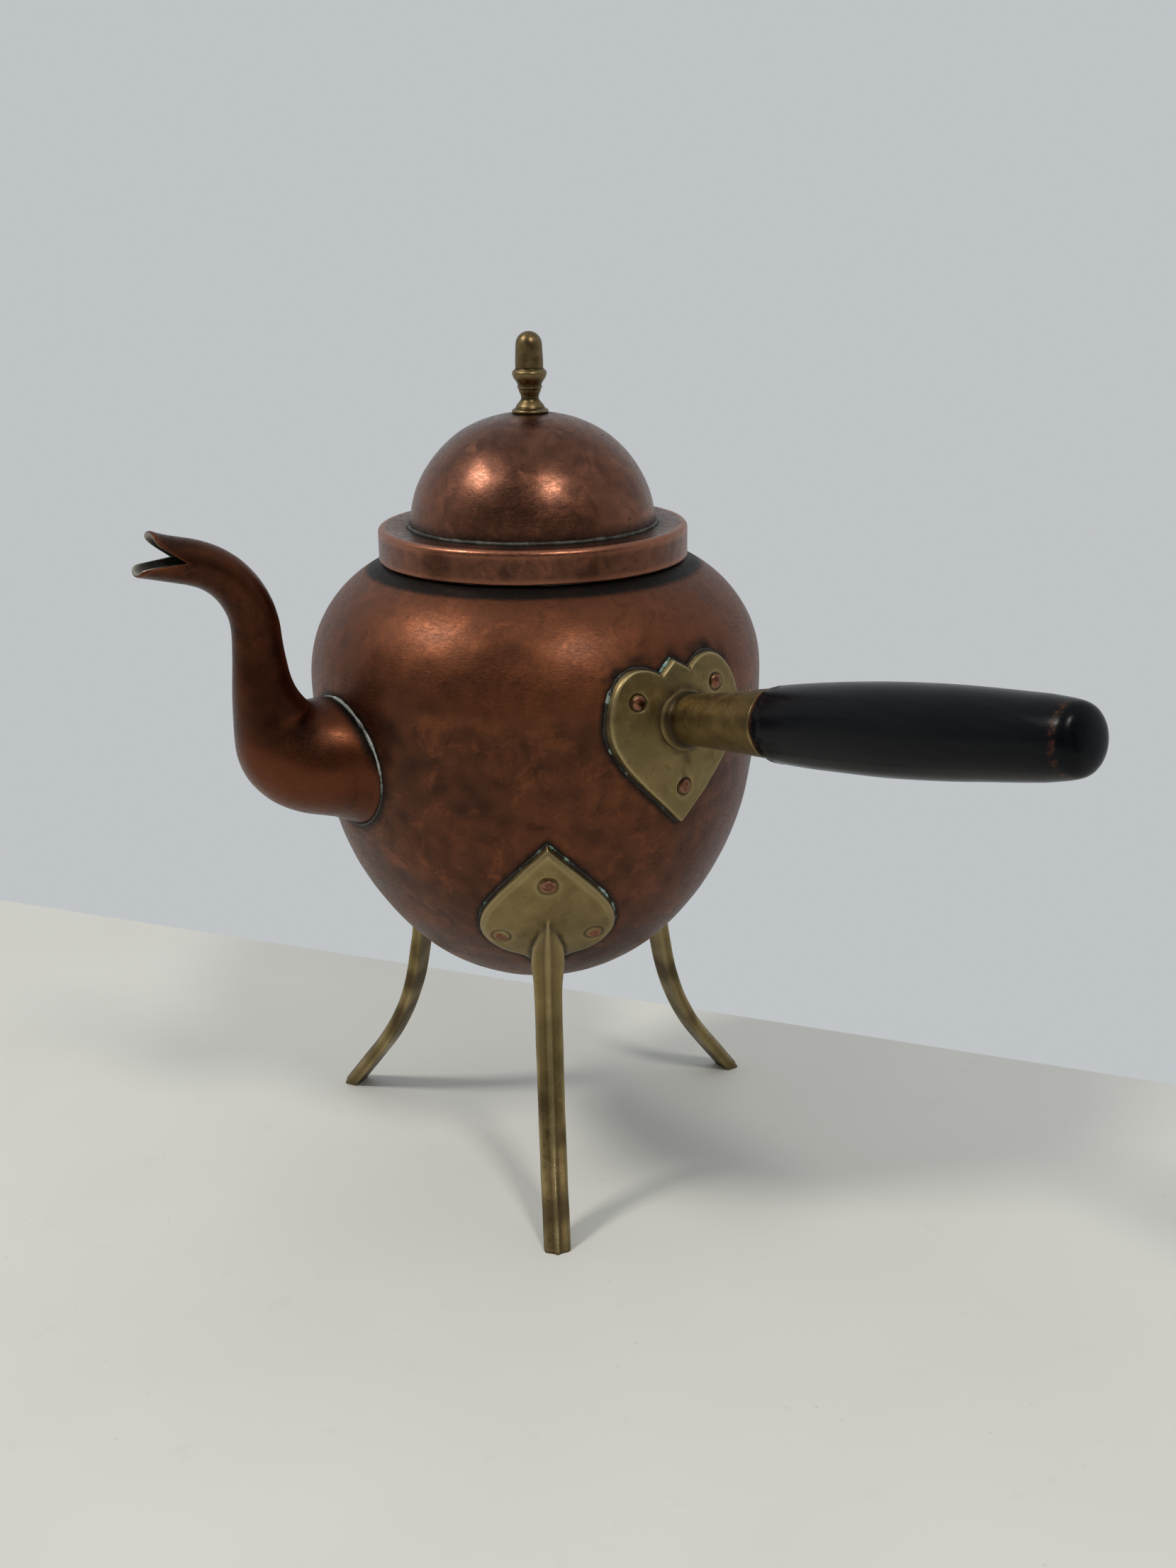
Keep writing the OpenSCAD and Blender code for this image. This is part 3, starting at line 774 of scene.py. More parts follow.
def spout_ring(l, f, inset):
    """A ring of the spout. Below SWEEP_END its top and sides run to the body in one smooth sweep."""
    l = np.broadcast_to(l, f.shape).astype(float)
    tube = tube_points(l, f, inset)
    if l.max() >= SWEEP_END:
        return tube
    root = root_points(f, spout_radius(0) - inset)
    first = tube_points(np.full(len(f), ROOT_END), f, inset)
    t = min(1.0, l[0] / ROOT_END)
    near = root + (first - root) * (t * t * (3 - 2 * t) * 0.35 + t * 0.65)
    base = near if l[0] < ROOT_END else tube
    end = tube_points(np.full(len(f), SWEEP_END), f, inset)
    chord = np.linalg.norm(end - root, axis=1)[:, None]
    h = float(np.interp(SWEEP_END, SPOUT_PATH[:, 0], SPOUT_PATH[:, 3]))
    t = l[0] / SWEEP_END
    t2, t3 = t * t, t ** 3
    high = clamp(np.cos(np.radians(f)))[:, None]
    leave = chord * np.column_stack([0 * high + 1.05, 0 * high, 0.02 + 0.45 * high])
    arrive = chord * (1 - 0.35 * high) * np.array([cos(h), 0, sin(h)])
    sweep = ((2 * t3 - 3 * t2 + 1) * root + (t3 - 2 * t2 + t) * leave + (3 * t2 - 2 * t3) * end
             + (t3 - t2) * arrive)
    w = clamp((np.cos(np.radians(f)) + 0.45) / 0.95)
    w = (w * w * (3 - 2 * w))[:, None]
    return base + (sweep - base) * w


def spout():
    m = 120
    f = np.arange(m) * 360 / m

    short = 0.5

    def side(inset):
        beak, steps = MOUTH_L - 9, 24
        rings = [spout_ring(l, f, inset) for l in np.linspace(0, beak, 108)]
        for j in range(1, steps + 1):
            l = beak + (MOUTH_L + lip_length(f) - short - beak) * j / steps
            rings.append(tube_points(l, f, inset))
        return rings

    outer, inner = side(0.0), side(SPOUT_WALL)
    edge = [tube_points(MOUTH_L + lip_length(f) - 0.12, f, 0.16),
            tube_points(MOUTH_L + lip_length(f), f, SPOUT_WALL / 2),
            tube_points(MOUTH_L + lip_length(f) - 0.12, f, SPOUT_WALL - 0.16)]
    rings = outer + edge + inner[::-1]
    v, faces = skin_rings(rings, loop=True)
    n_out = len(outer)
    parts = [0 if i // m < n_out + 1 else 1 for i in range(len(faces))]
    ob = new_object("spout_tube", v, faces, [COPPER_SPOUT, TIN], parts)
    p = points_of(ob)
    curl_x, split_z = 114.5, 205.5
    curl = clamp((p[:, 0] - curl_x) / 7) ** 2 * (p[:, 2] > split_z)
    p[:, 2] += 1.0 * curl
    set_points(ob, p)
    fade = clamp((p[:, 0] - 72) / 8)
    move_out(ob, p, (wobble(p, 0.16, 11, 5) + wobble(p, 0.05, 4, 6)) * fade)
    p = points_of(ob)
    rho = np.hypot(p[:, 0], p[:, 1])
    near = clamp(1 - (rho - body_rho(p[:, 2])) / 5.5) * (p[:, 2] < 165)
    upper = np.clip((p[:, 2] - SPOUT_Z + 6) / 14, 0.35, 1)
    set_attribute(ob, "grime_and_shade", near * upper)
    wear(ob)
    finish_piece(ob, "kettle", "copper", "spout")


def bead(name, points, out_dirs, side_dirs, radii, material, sides=10):
    """A closed line of solder or dirt: a tube of uneven thickness along points."""
    turns = np.linspace(0, 2 * math.pi, sides, endpoint=False)
    rings = [[p + r * (math.cos(t) * u + math.sin(t) * w) for t in turns]
             for p, u, w, r in zip(points, out_dirs, side_dirs, radii)]
    v, f = skin_rings(rings, loop=True)
    return new_object(name, v, f, [material])


def spout_seam():
    n = 260
    f = np.arange(n) * 360 / n
    r = seam_radius()
    mid = root_points(f, r + 0.15) + [0.25, 0, 0]
    away = root_points(f, r + 1.2) - root_points(f, r)
    away /= np.linalg.norm(away, axis=1)[:, None]
    t = np.radians(f)
    along = np.stack([0 * t, np.cos(t), -np.sin(t)], 1)
    out = np.cross(along, away)
    size = 0.62 + wobble(mid, 0.28, 3.0, 8) + wobble(mid, 0.15, 1.1, 9)
    size *= 0.72 + 0.45 * np.exp(-((f - 12) / 45) ** 2)
    ob = bead("spout_solder", mid, away, out, np.clip(size, 0.3, 0.95), SOLDER)
    p = points_of(ob)
    turn = np.degrees(np.arctan2(p[:, 1], p[:, 2] - SPOUT_Z))
    clean_from, clean_to = -25, 108
    clean = clamp((turn - clean_from) / 25) * clamp((clean_to - turn) / 25)
    set_attribute(ob, "grime_and_shade", 1 - clean)
    wear(ob)
    finish_piece(ob, "kettle", "solder", "spout_seam")


# ---- brass plates

def dish(radius, uv):
    d2 = (np.asarray(uv) ** 2).sum(1)
    return radius - np.sqrt(radius ** 2 - d2)


def plate_solid(name, plate, extra, azimuth=0.0):
    """A cast plate: dished face with soft edges, side walls, and a back that follows the body."""
    place, soft, bevel = plate.place, plate.soft, plate.bevel
    rim = resample(plate.outline, plate.step, closed=True)
    c = np.array(plate.centre, float)
    away = np.linalg.norm(rim - c, axis=1)
    pit = 0.42

    def face(uv):
        h = -dish(plate.dish, uv)
        for q in plate.rivets:
            d = np.linalg.norm(uv - np.array(q), axis=1)
            h = h - pit * np.exp(-((d - plate.pit_r) / pit) ** 2)
        return h + extra(uv)

    back = -depth_to_body(place, rim, 0.55)
    inside = (rim - c) * (1 - 1.2 / away)[:, None] + c
    back_in = -depth_to_body(place, inside, 0.55)
    rings = [np.column_stack([inside, back_in]), np.column_stack([rim, back])]
    top = face(rim) - soft
    for t in (0.25, 0.5, 0.75, 1.0):
        rings.append(np.column_stack([rim, back + (top - back) * t]))
    if bevel:
        steps = [(bevel * t, soft * (1 - t)) for t in (0.2, 0.4, 0.6, 0.8, 1.0)]
    else:
        steps = [(soft * (1 - cos(a)), soft * (1 - sin(a))) for a in (18, 36, 54, 72, 90)]
    for inset, drop in steps:
        uv = (rim - c) * (1 - inset / away)[:, None] + c
        rings.append(np.column_stack([uv, face(uv) - drop]))
    start = 1 - ((bevel or soft) + 0.35) / away
    count = 58
    for k in range(count):
        s = start * (1 - k / count)
        uv = (rim - c) * s[:, None] + c
        rings.append(np.column_stack([uv, face(uv)]))
    v, f = skin_rings(rings)
    back_centre = len(v) - 2
    v[back_centre, 2] = back_in.min()
    return new_object(name, turned(place(v), azimuth), f, [BRASS])


def rivet(name, place, q, face_w, head_r, head_h, tail_w, azimuth, seed):
    """A hand-set rivet: an uneven domed head, its shank, and a flattened tail inside."""
    tail_r = 2.3
    profile = ([(0.05, head_h)] + [(head_r * sin(a), head_h * cos(a) ** 0.8) for a in range(12, 90, 9)]
               + [(head_r, -0.1), (head_r - 0.2, -0.5), (1.5, -0.6), (1.5, tail_w)]
               + [(tail_r, tail_w - 0.05)]
               + [(tail_r * cos(a), tail_w - 0.1 - 0.8 * sin(a)) for a in range(15, 90, 15)]
               + [(0.05, tail_w - 0.9)])
    v, f = skin_rings(lathe_rings(resample(profile, 0.22), 40))
    k = wobble(v, 0.14, 1.3, 20 + seed)
    v = v + np.stack([k * 0.4, k * -0.3, k * (v[:, 2] > -0.3)], 1)
    v[:, 0] *= 1 + 0.04 * math.sin(seed * 2.1)
    v = v + [q[0], q[1], face_w]
    return new_object(name, turned(place(v), azimuth), f, [RIVET])


def rivet_group(name, plate, heads, head_h, azimuth, node, seed):
    """A plate's rivets, with the radius of each head."""
    obs = []
    for i, q in enumerate(plate.rivets):
        uv = np.array([q])
        face_w = -float(dish(plate.dish, uv)[0]) - 0.12
        tail_w = -float(depth_to_body(plate.place, uv, WALL)[0]) - face_w - 0.1
        obs.append(rivet(f"{name}_{i}", plate.place, q, face_w, heads[i], head_h, tail_w, azimuth, seed + i))
    ob = join(name, obs)
    wear(ob, 6, 0.08)
    finish_piece(ob, "kettle", "rivet_copper", node)


def edge_crust(name, plate, azimuth, seed, skip=None):
    """The dirt and salts in the corner between a plate and the body."""
    place = plate.place
    uv = resample(plate.outline, 0.5, closed=True)
    tangent = np.roll(uv, -1, 0) - np.roll(uv, 1, 0)
    tangent /= np.linalg.norm(tangent, axis=1)[:, None]
    out2 = np.stack([-tangent[:, 1], tangent[:, 0]], 1)
    if ((uv + out2) ** 2).sum() < (uv ** 2).sum():
        out2 = -out2
    uv2 = uv + out2 * 0.18
    keep = np.ones(len(uv), bool) if skip is None else ~skip(uv)
    p = place(np.column_stack([uv2, -depth_to_body(place, uv2, -0.05)]))
    q = place(np.column_stack([uv2 + out2, -depth_to_body(place, uv2 + out2, -0.05)])) - p
    q /= np.linalg.norm(q, axis=1)[:, None]
    along = np.roll(p, -1, 0) - np.roll(p, 1, 0)
    up = np.cross(along / np.linalg.norm(along, axis=1)[:, None], q)
    size = np.clip(0.42 + wobble(p, 0.35, 2.6, seed) + wobble(p, 0.18, 0.9, seed + 1), 0.16, 0.8)
    size = np.where(keep, size, 0.05)
    ob = bead(name, turned(p, azimuth), turned(q, azimuth), turned(up, azimuth), size, CRUST, sides=8)
    finish_piece(ob, "kettle", "solder")


def handle_plate():
    def extra(uv):
        d = np.hypot(uv[:, 0] - 0.4, uv[:, 1] - 8.5)
        swell = 0.7 * np.exp(-np.clip(d - 8.0, 0, None) / 1.6)
        return swell + wobble(np.column_stack([uv, 0 * d]), 0.16, 6.0, 31)

    ob = plate_solid("heart_plate", HEART, extra)
    wear(ob)
    p = handle_side(points_of(ob))
    x, y, z = p.T
    tube_z, streak_top, streak_end = 156.5, 153, 130
    d = np.hypot(x, z - tube_z)
    front = y > PLATE_Y - 4
    ring = clamp(1 - np.abs(d - 8.8) / 1.9) * front
    ring *= clamp(0.75 + wobble(p, 0.9, 4.0, 34))
    below = clamp((streak_top - z) / 5) * clamp((z - streak_end) / 7)
    streak = clamp(1 - np.abs(x + 0.6) / 2.3) * below * 0.8 * front
    streak *= clamp(0.55 + wobble(p, 1.1, 3.2, 33))
    set_attribute(ob, "grime_and_shade", clamp(np.maximum(ring * 0.75, streak)))
    finish_piece(ob, "kettle", "brass", "handle_plate")
    edge_crust("heart_crust", HEART, 0.0, 41)


# ---- handle

HANDLE_Z0 = 143.4
HANDLE_RISE = 10.5
SOCKET_END = 109.0
GRIP_LEN = 102.6
GRIP_R = 11.8


def on_handle(points):
    """Handle's own frame (across, up, along) to the kettle's."""
    x, y, s = np.asarray(points, float).T
    a, b = sin(HANDLE_RISE), cos(HANDLE_RISE)
    return turned(np.stack([-x, s * b - y * a, HANDLE_Z0 + s * a + y * b], 1), HANDLE_ANGLE - 90)


def along_handle(points):
    """How far out along the handle each kettle point lies, and how high above its middle line."""
    p = handle_side(points)
    a, b = sin(HANDLE_RISE), cos(HANDLE_RISE)
    return p[:, 1] * b + (p[:, 2] - HANDLE_Z0) * a, (p[:, 2] - HANDLE_Z0) * b - p[:, 1] * a


def socket_radius(s):
    return 6.95 + 2.45 * (s - 73) / (SOCKET_END - 73)


def handle_socket():
    root = 75.0
    profile = [(socket_radius(84) - 1.4, 84), (5.4, 71.0), (8.8, 68.8), (9.0, 71.8)]
    profile += [(socket_radius(root) + 2.3 * (1 - sin(a)), root - 2.8 * cos(a)) for a in range(12, 91, 8)]
    profile += [(socket_radius(90) - 0.12, 90), (socket_radius(100) - 0.1, 100)]
    e, r = SOCKET_END, socket_radius(SOCKET_END)
    profile += [(r - 0.05, e - 1.0), (r + 0.10, e - 0.45), (r - 0.1, e), (r - 1.3, e)]
    ob = lathe("socket_tube", profile, 120, BRASS_TUBE, 0.5, loop=True, place=on_handle)
    push(ob, 0.16, 7, 51)
    wear(ob)
    p = points_of(ob)
    s, up = along_handle(p)
    at_plate, near_grip = 71.5, 99
    root_dirt = clamp(1 - (s - at_plate) / 5.0) * np.clip(0.6 + wobble(p, 1.0, 5.0, 53), 0.1, 1) * 0.8
    end_stain = clamp((s - near_grip) / 9) * clamp(0.45 + wobble(p, 1.2, 4.5, 52)) * 0.75
    # Painted shade: the tube's underside is darkened, more the further below its middle line.
    under = clamp(-up / 9) * 0.4
    set_attribute(ob, "grime_and_shade", clamp(np.maximum.reduce([root_dirt, end_stain, under])))
    finish_piece(ob, "kettle", "brass", "handle_socket")


def handle_grip():
    e = SOCKET_END
    r, g = GRIP_R, GRIP_LEN
    thick, waist, brow = (r + 0.03, 0.42 * g), (r - 1.75, 0.88 * g), (r - 3.1, 0.967 * g)
    half = ([(socket_radius(e) + 0.1, 0)]
            + bezier([(r - 1.7, 1.3), (r - 0.9, 0.09 * g), (r, 0.25 * g), thick], 40)
            + bezier([thick, (r + 0.06, 0.58 * g), (r - 0.7, 0.7 * g), waist], 40)
            + bezier([waist, (r - 2.2, 0.921 * g), (r - 2.6, 0.95 * g), brow], 16)
            + bezier([brow, (r - 3.9, 0.99 * g), (5.2, g), (0.05, g)], 40) + [(0.05, g)])
    tenon = 85
    profile = [(0.05, tenon), (socket_radius(tenon) - 1.6, tenon), (socket_radius(e) - 1.55, e - 0.15),
               (8.7, e + 0.02)]
    profile += [(r, s + e + (0.0 if i else 0.12)) for i, (r, s) in enumerate(half)]
    ob = lathe("grip", profile, 144, WOOD, 0.8, place=on_handle)
    p = points_of(ob)
    s = along_handle(p)[0]
    inner = s < e + 0.3
    lumps = wobble(p, 0.16, 18, 61) + np.where((s > e) & (s < e + 5), wobble(p, 0.30, 2.6, 62), 0)
    lumps = np.where(s > GRIP_LEN + e - 3, 0, lumps)
    move_out(ob, p, np.where(inner, 0, lumps))
    bare = clamp(1 - (s - e) / 4.2) * 0.95
    nose = np.exp(-((s - (e + 0.955 * GRIP_LEN)) / 2.4) ** 2) * 0.55
    set_attribute(ob, "bare", np.maximum(bare, nose))
    wear(ob)
    finish_piece(ob, "kettle", "ebony", "handle_grip")


def handle_pin():
    r, s0 = 1.0, SOCKET_END - 8
    reach = socket_radius(s0)
    profile = ([(0.03, -reach - 0.25)]
               + [(r * sin(a), -reach + 0.05 - 0.3 * cos(a)) for a in range(15, 91, 15)] + [(r, reach - 0.05)]
               + [(r * cos(a), reach - 0.05 + 0.3 * sin(a)) for a in range(15, 90, 15)])
    v, f = skin_rings(lathe_rings(profile, 32))
    v = np.stack([v[:, 0], v[:, 2], v[:, 1] + s0], 1)
    ob = new_object("cross_pin", on_handle(v), f, [RIVET])
    wear(ob, 4)
    finish_piece(ob, "kettle", "brass", "handle_pin")


# ---- legs

SPLAY = 38.0
KNEE_A = 10.7
HIGH_R, LOW_R = 40.5, 85.0
HEEL = np.array([64.5, 15.5])


def out_dir(a):
    return np.array([cos(a), sin(a)])


def down_dir(a):
    return np.array([sin(a), -cos(a)])


def leg_path():
    """Points and headings of the bar's middle line, from inside the plate to the floor."""
    low_c = HEEL + LOW_R * out_dir(SPLAY)
    ankle = low_c - LOW_R * out_dir(KNEE_A)
    knee = ankle - 8 * down_dir(KNEE_A)
    high_c = knee + HIGH_R * out_dir(KNEE_A)
    hip = high_c - HIGH_R * out_dir(-SPADE_TILT)
    out = [(hip - l * down_dir(-SPADE_TILT), -SPADE_TILT) for l in np.linspace(16.5, 0.6, 20)]
    for a in np.linspace(-SPADE_TILT, KNEE_A, 30):
        out.append((high_c - HIGH_R * out_dir(a), a))
    out += [(knee + l * down_dir(KNEE_A), KNEE_A) for l in (2, 4, 6)]
    for a in np.linspace(KNEE_A, SPLAY, 34):
        out.append((low_c - LOW_R * out_dir(a), a))
    out += [(HEEL + l * down_dir(SPLAY), SPLAY) for l in np.linspace(1.2, 15.0, 12)]
    return out


BAR_SECTION = [(-4.15, -2.3), (-3.85, -2.5), (3.85, -2.5), (4.15, -2.3), (4.15, 0.75), (3.55, 1.35),
               (0.85, 2.0), (0.5, 2.5), (-0.5, 2.5), (-0.85, 2.0), (-3.55, 1.35), (-4.15, 0.75)]


def leg_bar(name):
    section = resample(BAR_SECTION, 0.55, closed=True)
    path = leg_path()
    rings = []
    run = 0.0
    last = path[0][0]
    for p, a in path:
        run += float(np.linalg.norm(p - last))
        last = p
        narrow = 0.24 + 0.76 * min(1, run / 17.0) ** 1.1 + 0.19 * math.exp(-((run - 23) / 7.5) ** 2)
        sink = 1.6 * max(0, 1 - run / 6.0) ** 2
        lean = max(0.0, run - 30) / 120
        n = out_dir(a)
        rings.append([(p[0] + n[0] * (w - sink), t * narrow * (1 - 0.06 * lean), p[1] + n[1] * (w - sink))
                      for t, w in section])
    foot = []
    p, a = path[-1]
    n, d = out_dir(a), down_dir(a)
    for t, w in section:
        q = p + n * w
        q = q + d * (q[1] / -d[1])
        foot.append((q[0], t * 0.95, 0.0))
    rings.append(foot)
    v, f = skin_rings(rings)
    return new_object(name, v, f, [BRASS])


def leg(name, azimuth, seed):
    def extra(uv):
        u, v = uv[:, 0], uv[:, 1]
        off_bar = np.abs(u) - 2.2 - 0.16 * np.clip(-8 - v, 0, 12)
        hollow = np.exp(-(off_bar / 1.3) ** 2 - ((v + 15.0) / 5.5) ** 2)
        return -0.65 * hollow + wobble(np.column_stack([uv, 0 * u]), 0.16, 5.5, seed)

    plate = plate_solid(name + "_plate", SPADE, extra)
    ob = join(name + "_casting", [plate, leg_bar(name + "_bar")])
    mod = ob.modifiers.new("cast", "REMESH")
    mod.mode = "VOXEL"
    mod.voxel_size = 0.34 * MM
    mod = ob.modifiers.new("soften", "SMOOTH")
    mod.factor = 0.5
    mod.iterations = 3
    apply_modifiers(ob)
    p = points_of(ob)
    p = p + normals_of(ob) * (wobble(p, 0.10, 8, seed + 3) * (p[:, 2] > 1))[:, None]
    p[:, 2] = np.where(p[:, 2] < 0.22, 0.0, p[:, 2])
    set_points(ob, turned(p, azimuth))
    wear(ob, 10, 0.14)
    stain = clamp(0.4 + wobble(p, 1.4, 9, seed + 5)) * clamp((80 - p[:, 2]) / 30) * 0.65
    foot = clamp(1 - p[:, 2] / 7) * 0.6
    low = clamp(1 - (np.hypot(p[:, 0], p[:, 1]) - body_rho(p[:, 2])) / 0.9) * (p[:, 2] > 78) * 0.7
    set_attribute(ob, "grime_and_shade", clamp(np.maximum.reduce([stain, foot, low])))
    finish_piece(ob, "kettle", "brass", name)
    edge_crust(name + "_crust", SPADE, azimuth, seed + 7,
               skip=lambda uv: (uv[:, 1] < -17) & (np.abs(uv[:, 0]) < 11))


# ---- lid

RIM_TOP = RIM_HI[2]
BAND_R = RIM_HI[0]
BAND_LOW = RIM_LO[2]
DOME_FOOT = 201.0
DOME_R = 36.9
DOME_H = 34.1


def dome_point(t, off=0.0):
    r = DOME_H + (DOME_R - DOME_H) * cos(t) ** 1.2 - off
    return (r * cos(t), DOME_FOOT + r * sin(t))


DOME_T0 = math.degrees(math.asin((RIM_TOP - DOME_FOOT) / DOME_R))
KNOB_HOLE = 1.6
DOME_T1 = math.degrees(math.acos(KNOB_HOLE / DOME_H))
DOME_TOP = dome_point(DOME_T1)[1]


def lid_rim():
    corner = 1.45
    hole = DOME_R - 2.2
    w = WALL
    profile = [(hole, RIM_TOP - w), (BAND_R - w - 0.7, RIM_TOP - w), (BAND_R - w - 0.15, RIM_TOP - w - 0.3),
               (BAND_R - w, RIM_TOP - w - 0.9), (BAND_R - w, BAND_LOW + 0.3), (BAND_R - w + 0.3, BAND_LOW),
               (BAND_R - 0.3, BAND_LOW), (BAND_R - 0.02, BAND_LOW + 0.3)]
    profile += [(BAND_R - corner - 0.02 + corner * cos(a), RIM_TOP - corner + corner * sin(a))
                for a in range(0, 91, 9)]
    profile += [(BAND_R - 3.2, RIM_TOP - 0.12), (hole + 4, RIM_TOP - 0.16), (hole, RIM_TOP)]
    profile = resample(profile, 0.45, closed=True)
    m = 420
    v, f = skin_rings(lathe_rings(profile, m), loop=True)
    r, z = ((profile + np.roll(profile, -1, 0)) / 2).T
    inner = (z < RIM_TOP - w + 0.05) & (r < BAND_R - w + 0.1)
    ob = new_object("rim", v, f, [COPPER_LID, TIN], np.repeat(inner, m).astype(int).tolist())
    p = points_of(ob)
    n = normals_of(ob)
    outer = np.hypot(p[:, 0], p[:, 1]) > BAND_R - w + 0.4
    low = clamp(1 - (p[:, 2] - BAND_LOW) / 3)
    bumps = wobble(p, 0.14, 12, 71) + wobble(p, 0.05, 4, 72)
    p2 = p + n * np.where(outer, np.minimum(bumps, 0.02), bumps * 0.3)[:, None]
    p2[:, 2] += low * np.clip(wobble(p, 0.30, 14, 73), 0, None)
    set_points(ob, p2)
    top = (p[:, 2] > RIM_TOP - 0.5)
    rho = np.hypot(p[:, 0], p[:, 1])
    grime_and_shade = np.where(top, np.clip(1 - (rho - DOME_R) / 7.0, 0.12, 1) * 0.62, 0)
    grime_and_shade = np.maximum(grime_and_shade, clamp(1 - (p[:, 2] - BAND_LOW) / 2.2) * 0.35)
    set_attribute(ob, "grime_and_shade", grime_and_shade)
    wear(ob, 10, 0.10)
    finish_piece(ob, "lid", "copper", "lid_rim")


def lid_dome():
    n, n_in = 90, 40
    out = [dome_point(DOME_T0 + (DOME_T1 - DOME_T0) * i / n) for i in range(n + 1)]
    ins = [dome_point(DOME_T0 + (DOME_T1 - DOME_T0) * i / n_in, WALL) for i in range(n_in, -1, -1)]
    ins[-1] = (ins[-1][0], RIM_TOP - 0.6)
    profile = [(out[0][0], RIM_TOP - 0.6)] + out + ins
    m = 320
    v, f = skin_rings(lathe_rings(profile, m), loop=True)
    parts = [0 if i // m <= n + 1 else 1 for i in range(len(f))]
    ob = new_object("dome", v, f, [COPPER_LID, TIN], parts)
    p = points_of(ob)
    fade = clamp((p[:, 2] - RIM_TOP) / 4) * clamp((np.hypot(p[:, 0], p[:, 1]) - 5.5) / 3)
    move_out(ob, p, (wobble(p, 0.15, 12, 81) + wobble(p, 0.05, 4, 82)) * fade)
    rho = np.hypot(p[:, 0], p[:, 1])
    grime_and_shade = clamp(1 - (p[:, 2] - RIM_TOP) / 6.5) * 0.75
    grime_and_shade = np.maximum(grime_and_shade, clamp(1 - (rho - 5.2) / 2.4) * 0.8)
    set_attribute(ob, "grime_and_shade", grime_and_shade)
    wear(ob)
    finish_piece(ob, "lid", "copper", "lid_dome")


def lid_seam():
    n = 300
    a = np.linspace(0, 2 * math.pi, n, endpoint=False)
    r = dome_point(DOME_T0)[0] + 0.25
    mid = np.stack([r * np.cos(a), r * np.sin(a), np.full(n, RIM_TOP + 0.12)], 1)
    out = np.stack([np.cos(a), np.sin(a), 0 * a], 1)
    up = np.stack([0 * a, 0 * a, 0 * a + 1], 1)
    size = np.clip(0.66 + wobble(mid, 0.35, 6, 91) + wobble(mid, 0.18, 1.6, 92), 0.35, 0.98)
    ob = bead("dome_solder", mid, out, up, size, SOLDER_LID, sides=12)
    wear(ob)
    finish_piece(ob, "lid", "solder", "lid_seam")


def lid_knob():
    z0 = DOME_TOP
    k = (KNOB_TOP - z0) / 23.4

    def ease(za, ra, zb, rb, n=12):
        return [(ra + (rb - ra) * (1 - cos(180 * i / n)) / 2, za + (zb - za) * i / n) for i in range(n)]

    outline = [(5.15, -0.1), (5.4, 0.15), (5.45, 0.5), (5.3, 0.85), (4.75, 1.15)]
    outline += ease(1.4, 4.3, 4.3, 2.6) + ease(4.3, 2.6, 7.0, 3.35)
    outline += [(3.55, 7.1), (3.7, 7.35), (3.62, 7.6)]
    outline += ease(7.75, 3.5, 11.0, 5.0)
    outline += [(5.1, 11.25), (5.12, 11.6), (4.95, 12.0), (4.35, 12.55), (4.1, 12.8), (4.12, 13.2),
                (4.13, 15), (4.0, 17.6), (3.92, 19.4)]
    outline += [(3.88 * cos(a), 19.6 + 3.8 * sin(a)) for a in range(6, 90, 6)] + [(0.05, 23.4)]
    outline = [(r, z0 + z * (k if z > 0.5 else 1)) for r, z in outline]
    stud = [(0.05, z0 - 3.2), (1.0, z0 - 3.2), (2.3, z0 - 2.75), (2.3, z0 - 2.1), (1.45, z0 - 2.05),
            (1.45, z0)]
    ob = lathe("knob", stud + outline, 96, BRASS_KNOB, 0.28)
    wear(ob, 6, 0.10)
    finish_piece(ob, "lid", "brass", "lid_knob")


def knob_washer():
    z = DOME_TOP - 2.05
    profile = [(1.5, z), (4.3, z), (4.5, z + 0.2), (4.5, z + 0.6), (4.3, z + 0.8), (1.5, z + 0.8)]
    ob = lathe("washer", profile, 64, RIVET, 0.3, loop=True)
    wear(ob, 4)
    finish_piece(ob, "lid", "rivet_copper", "knob_washer")


# ---- build

body_shell()
neck_collar()
spout()
spout_seam()
handle_plate()
rivet_group("heart_rivets", HEART, (2.1, 2.1, 2.1), 0.75, 0.0, "handle_rivets", 0)
handle_socket()
handle_grip()
handle_pin()
for i, (leg_name, azimuth) in enumerate(LEG_AZIMUTHS.items()):
    leg(leg_name, azimuth, 100 + 20 * i)
    rivet_group(leg_name + "_heads", SPADE, (2.5, 2.0, 2.0), 0.42, azimuth, leg_name + "_rivets", 5 + 4 * i)
lid_rim()
lid_dome()
lid_seam()
lid_knob()
knob_washer()


# ---- floor, light, camera

def floor_material():
    g = Graph("floor_paint", 0.0, 0.62, 0.3)
    n1 = g.noise(160, 4, 0.5)
    n2 = g.noise(14, 5, 0.6)
    color = g.mix(g.window(n1, 0.3, 0.7), (0.700, 0.703, 0.660), (0.745, 0.748, 0.710))
    color = g.layer(color, (0.62, 0.615, 0.56), n2, 0.60, 0.75, 0.22)
    specks = g.times(g.window(g.cells(7.0), 0.10, 0.04), g.window(g.noise(30, 3), 0.50, 0.60))
    color = g.mix(g.times(specks, 0.35), color, (0.50, 0.49, 0.44))
    return g.done(color, 0.62, g.bump(n2, 0.08, 0.4))


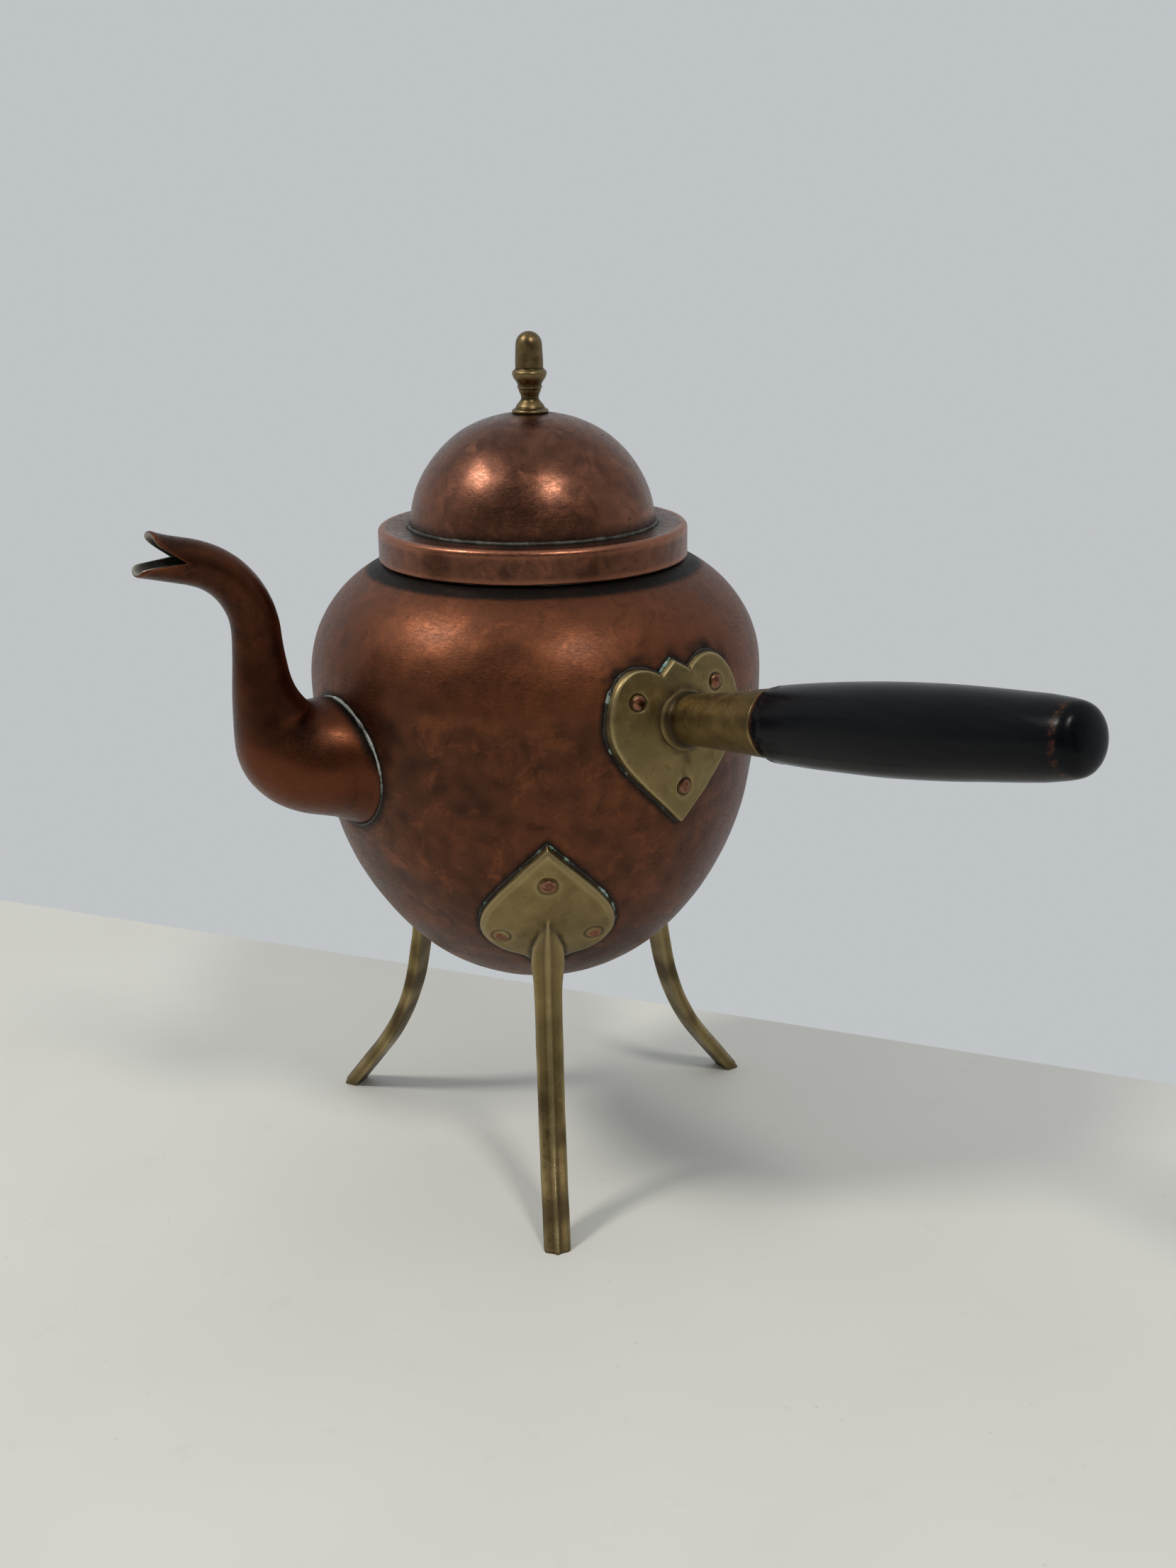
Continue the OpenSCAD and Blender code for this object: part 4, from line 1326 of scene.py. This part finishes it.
def floor():
    """A pale table top whose far edge runs behind the kettle."""
    edge_left, edge_right = Vector((88.5, -315.7, 0)), Vector((-195.1, 99.8, 0))
    along = (edge_right - edge_left).normalized()
    back = Vector((along.y, -along.x, 0))
    if back.dot(Vector((1, 1, 0))) > 0:
        back = -back
    depth, side, thick = 1600.0, 1700.0, 30.0
    corners = []
    for s, d in ((-side, 0.0), (side, 0.0), (side, depth), (-side, depth)):
        corners.append(edge_left + along * s - back * d)
    low = [c + Vector((0, 0, -thick)) for c in corners]
    verts = [tuple(c) for c in corners + low]
    faces = [(0, 1, 2, 3), (7, 6, 5, 4), (0, 4, 5, 1), (1, 5, 6, 2), (2, 6, 7, 3), (3, 7, 4, 0)]
    ob = new_object("table_top", verts, faces, [floor_material()], smooth=False)
    mod = ob.modifiers.new("soft_edge", "BEVEL")
    mod.width = 3 * MM
    mod.segments = 4


floor()


def world():
    """A pale wall all round, darker on the side behind the camera."""
    w = bpy.data.worlds.new("studio")
    bpy.context.scene.world = w
    w.use_nodes = True
    tree = w.node_tree
    background = next(n for n in tree.nodes if n.type == "BACKGROUND")
    coord = tree.nodes.new("ShaderNodeTexCoord")
    split = tree.nodes.new("ShaderNodeVectorMath")
    split.operation = "DOT_PRODUCT"
    dark_side = 58.3
    split.inputs[1].default_value = (cos(dark_side), sin(dark_side), -0.25)
    tree.links.new(coord.outputs["Generated"], split.inputs[0])
    ramp = tree.nodes.new("ShaderNodeMapRange")
    set_range(ramp, -0.25, 0.75, (0.0, 1.0))
    tree.links.new(split.outputs["Value"], ramp.inputs["Value"])
    mix = tree.nodes.new("ShaderNodeMix")
    mix.data_type = "RGBA"
    mix.inputs[6].default_value = (0.525, 0.550, 0.565, 1)
    mix.inputs[7].default_value = (0.115, 0.112, 0.108, 1)
    tree.links.new(ramp.outputs["Result"], mix.inputs[0])
    tree.links.new(mix.outputs[2], background.inputs["Color"])
    background.inputs["Strength"].default_value = 1.0


LAMP_AIM = Vector((0, 0, 0.19))
LAMP_SIZE = 0.40
LAMP_COLOR = (1.0, 0.95, 0.89)


def lamp(name, direction, distance, power):
    data = bpy.data.lights.new(name, "AREA")
    data.shape = "DISK"
    data.size = LAMP_SIZE
    data.energy = power
    data.color = LAMP_COLOR
    ob = linked(name, data)
    d = Vector(direction).normalized()
    ob.location = LAMP_AIM + d * distance
    ob.rotation_euler = d.to_track_quat("Z", "Y").to_euler()


def camera():
    """Looks at the kettle from between spout and handle, a little from above."""
    yaw, pitch, roll = 0.0280, 0.3159, -0.0146
    azimuth, distance, height = 148.3, 0.5512, 0.2996
    focal, frame_width, sensor_mm = 2600, 1659, 36
    turn = Matrix.Rotation(math.radians(azimuth), 3, "Z")
    forward = Vector((math.sin(yaw) * math.cos(pitch), math.cos(yaw) * math.cos(pitch), -math.sin(pitch)))
    level = Vector((math.cos(yaw), -math.sin(yaw), 0))
    up0 = level.cross(forward)
    right = level * math.cos(roll) + up0 * math.sin(roll)
    up = -level * math.sin(roll) + up0 * math.cos(roll)
    forward, right, up = turn @ forward, turn @ right, turn @ up
    data = bpy.data.cameras.new("view")
    data.sensor_fit = "HORIZONTAL"
    data.sensor_width = sensor_mm
    data.lens = sensor_mm * focal / frame_width
    data.clip_start = 0.02
    ob = linked("view", data)
    m = Matrix((right, up, -forward)).transposed().to_4x4()
    m.translation = turn @ Vector((0, -distance, height))
    ob.matrix_world = m
    bpy.context.scene.camera = ob


world()
lamp("lamp_left", (0.60, -0.21, 0.77), 2.0, 15)
lamp("lamp_right", (0.06, 0.65, 0.76), 2.1, 12)
camera()
bpy.context.scene.view_settings.view_transform = "Standard"
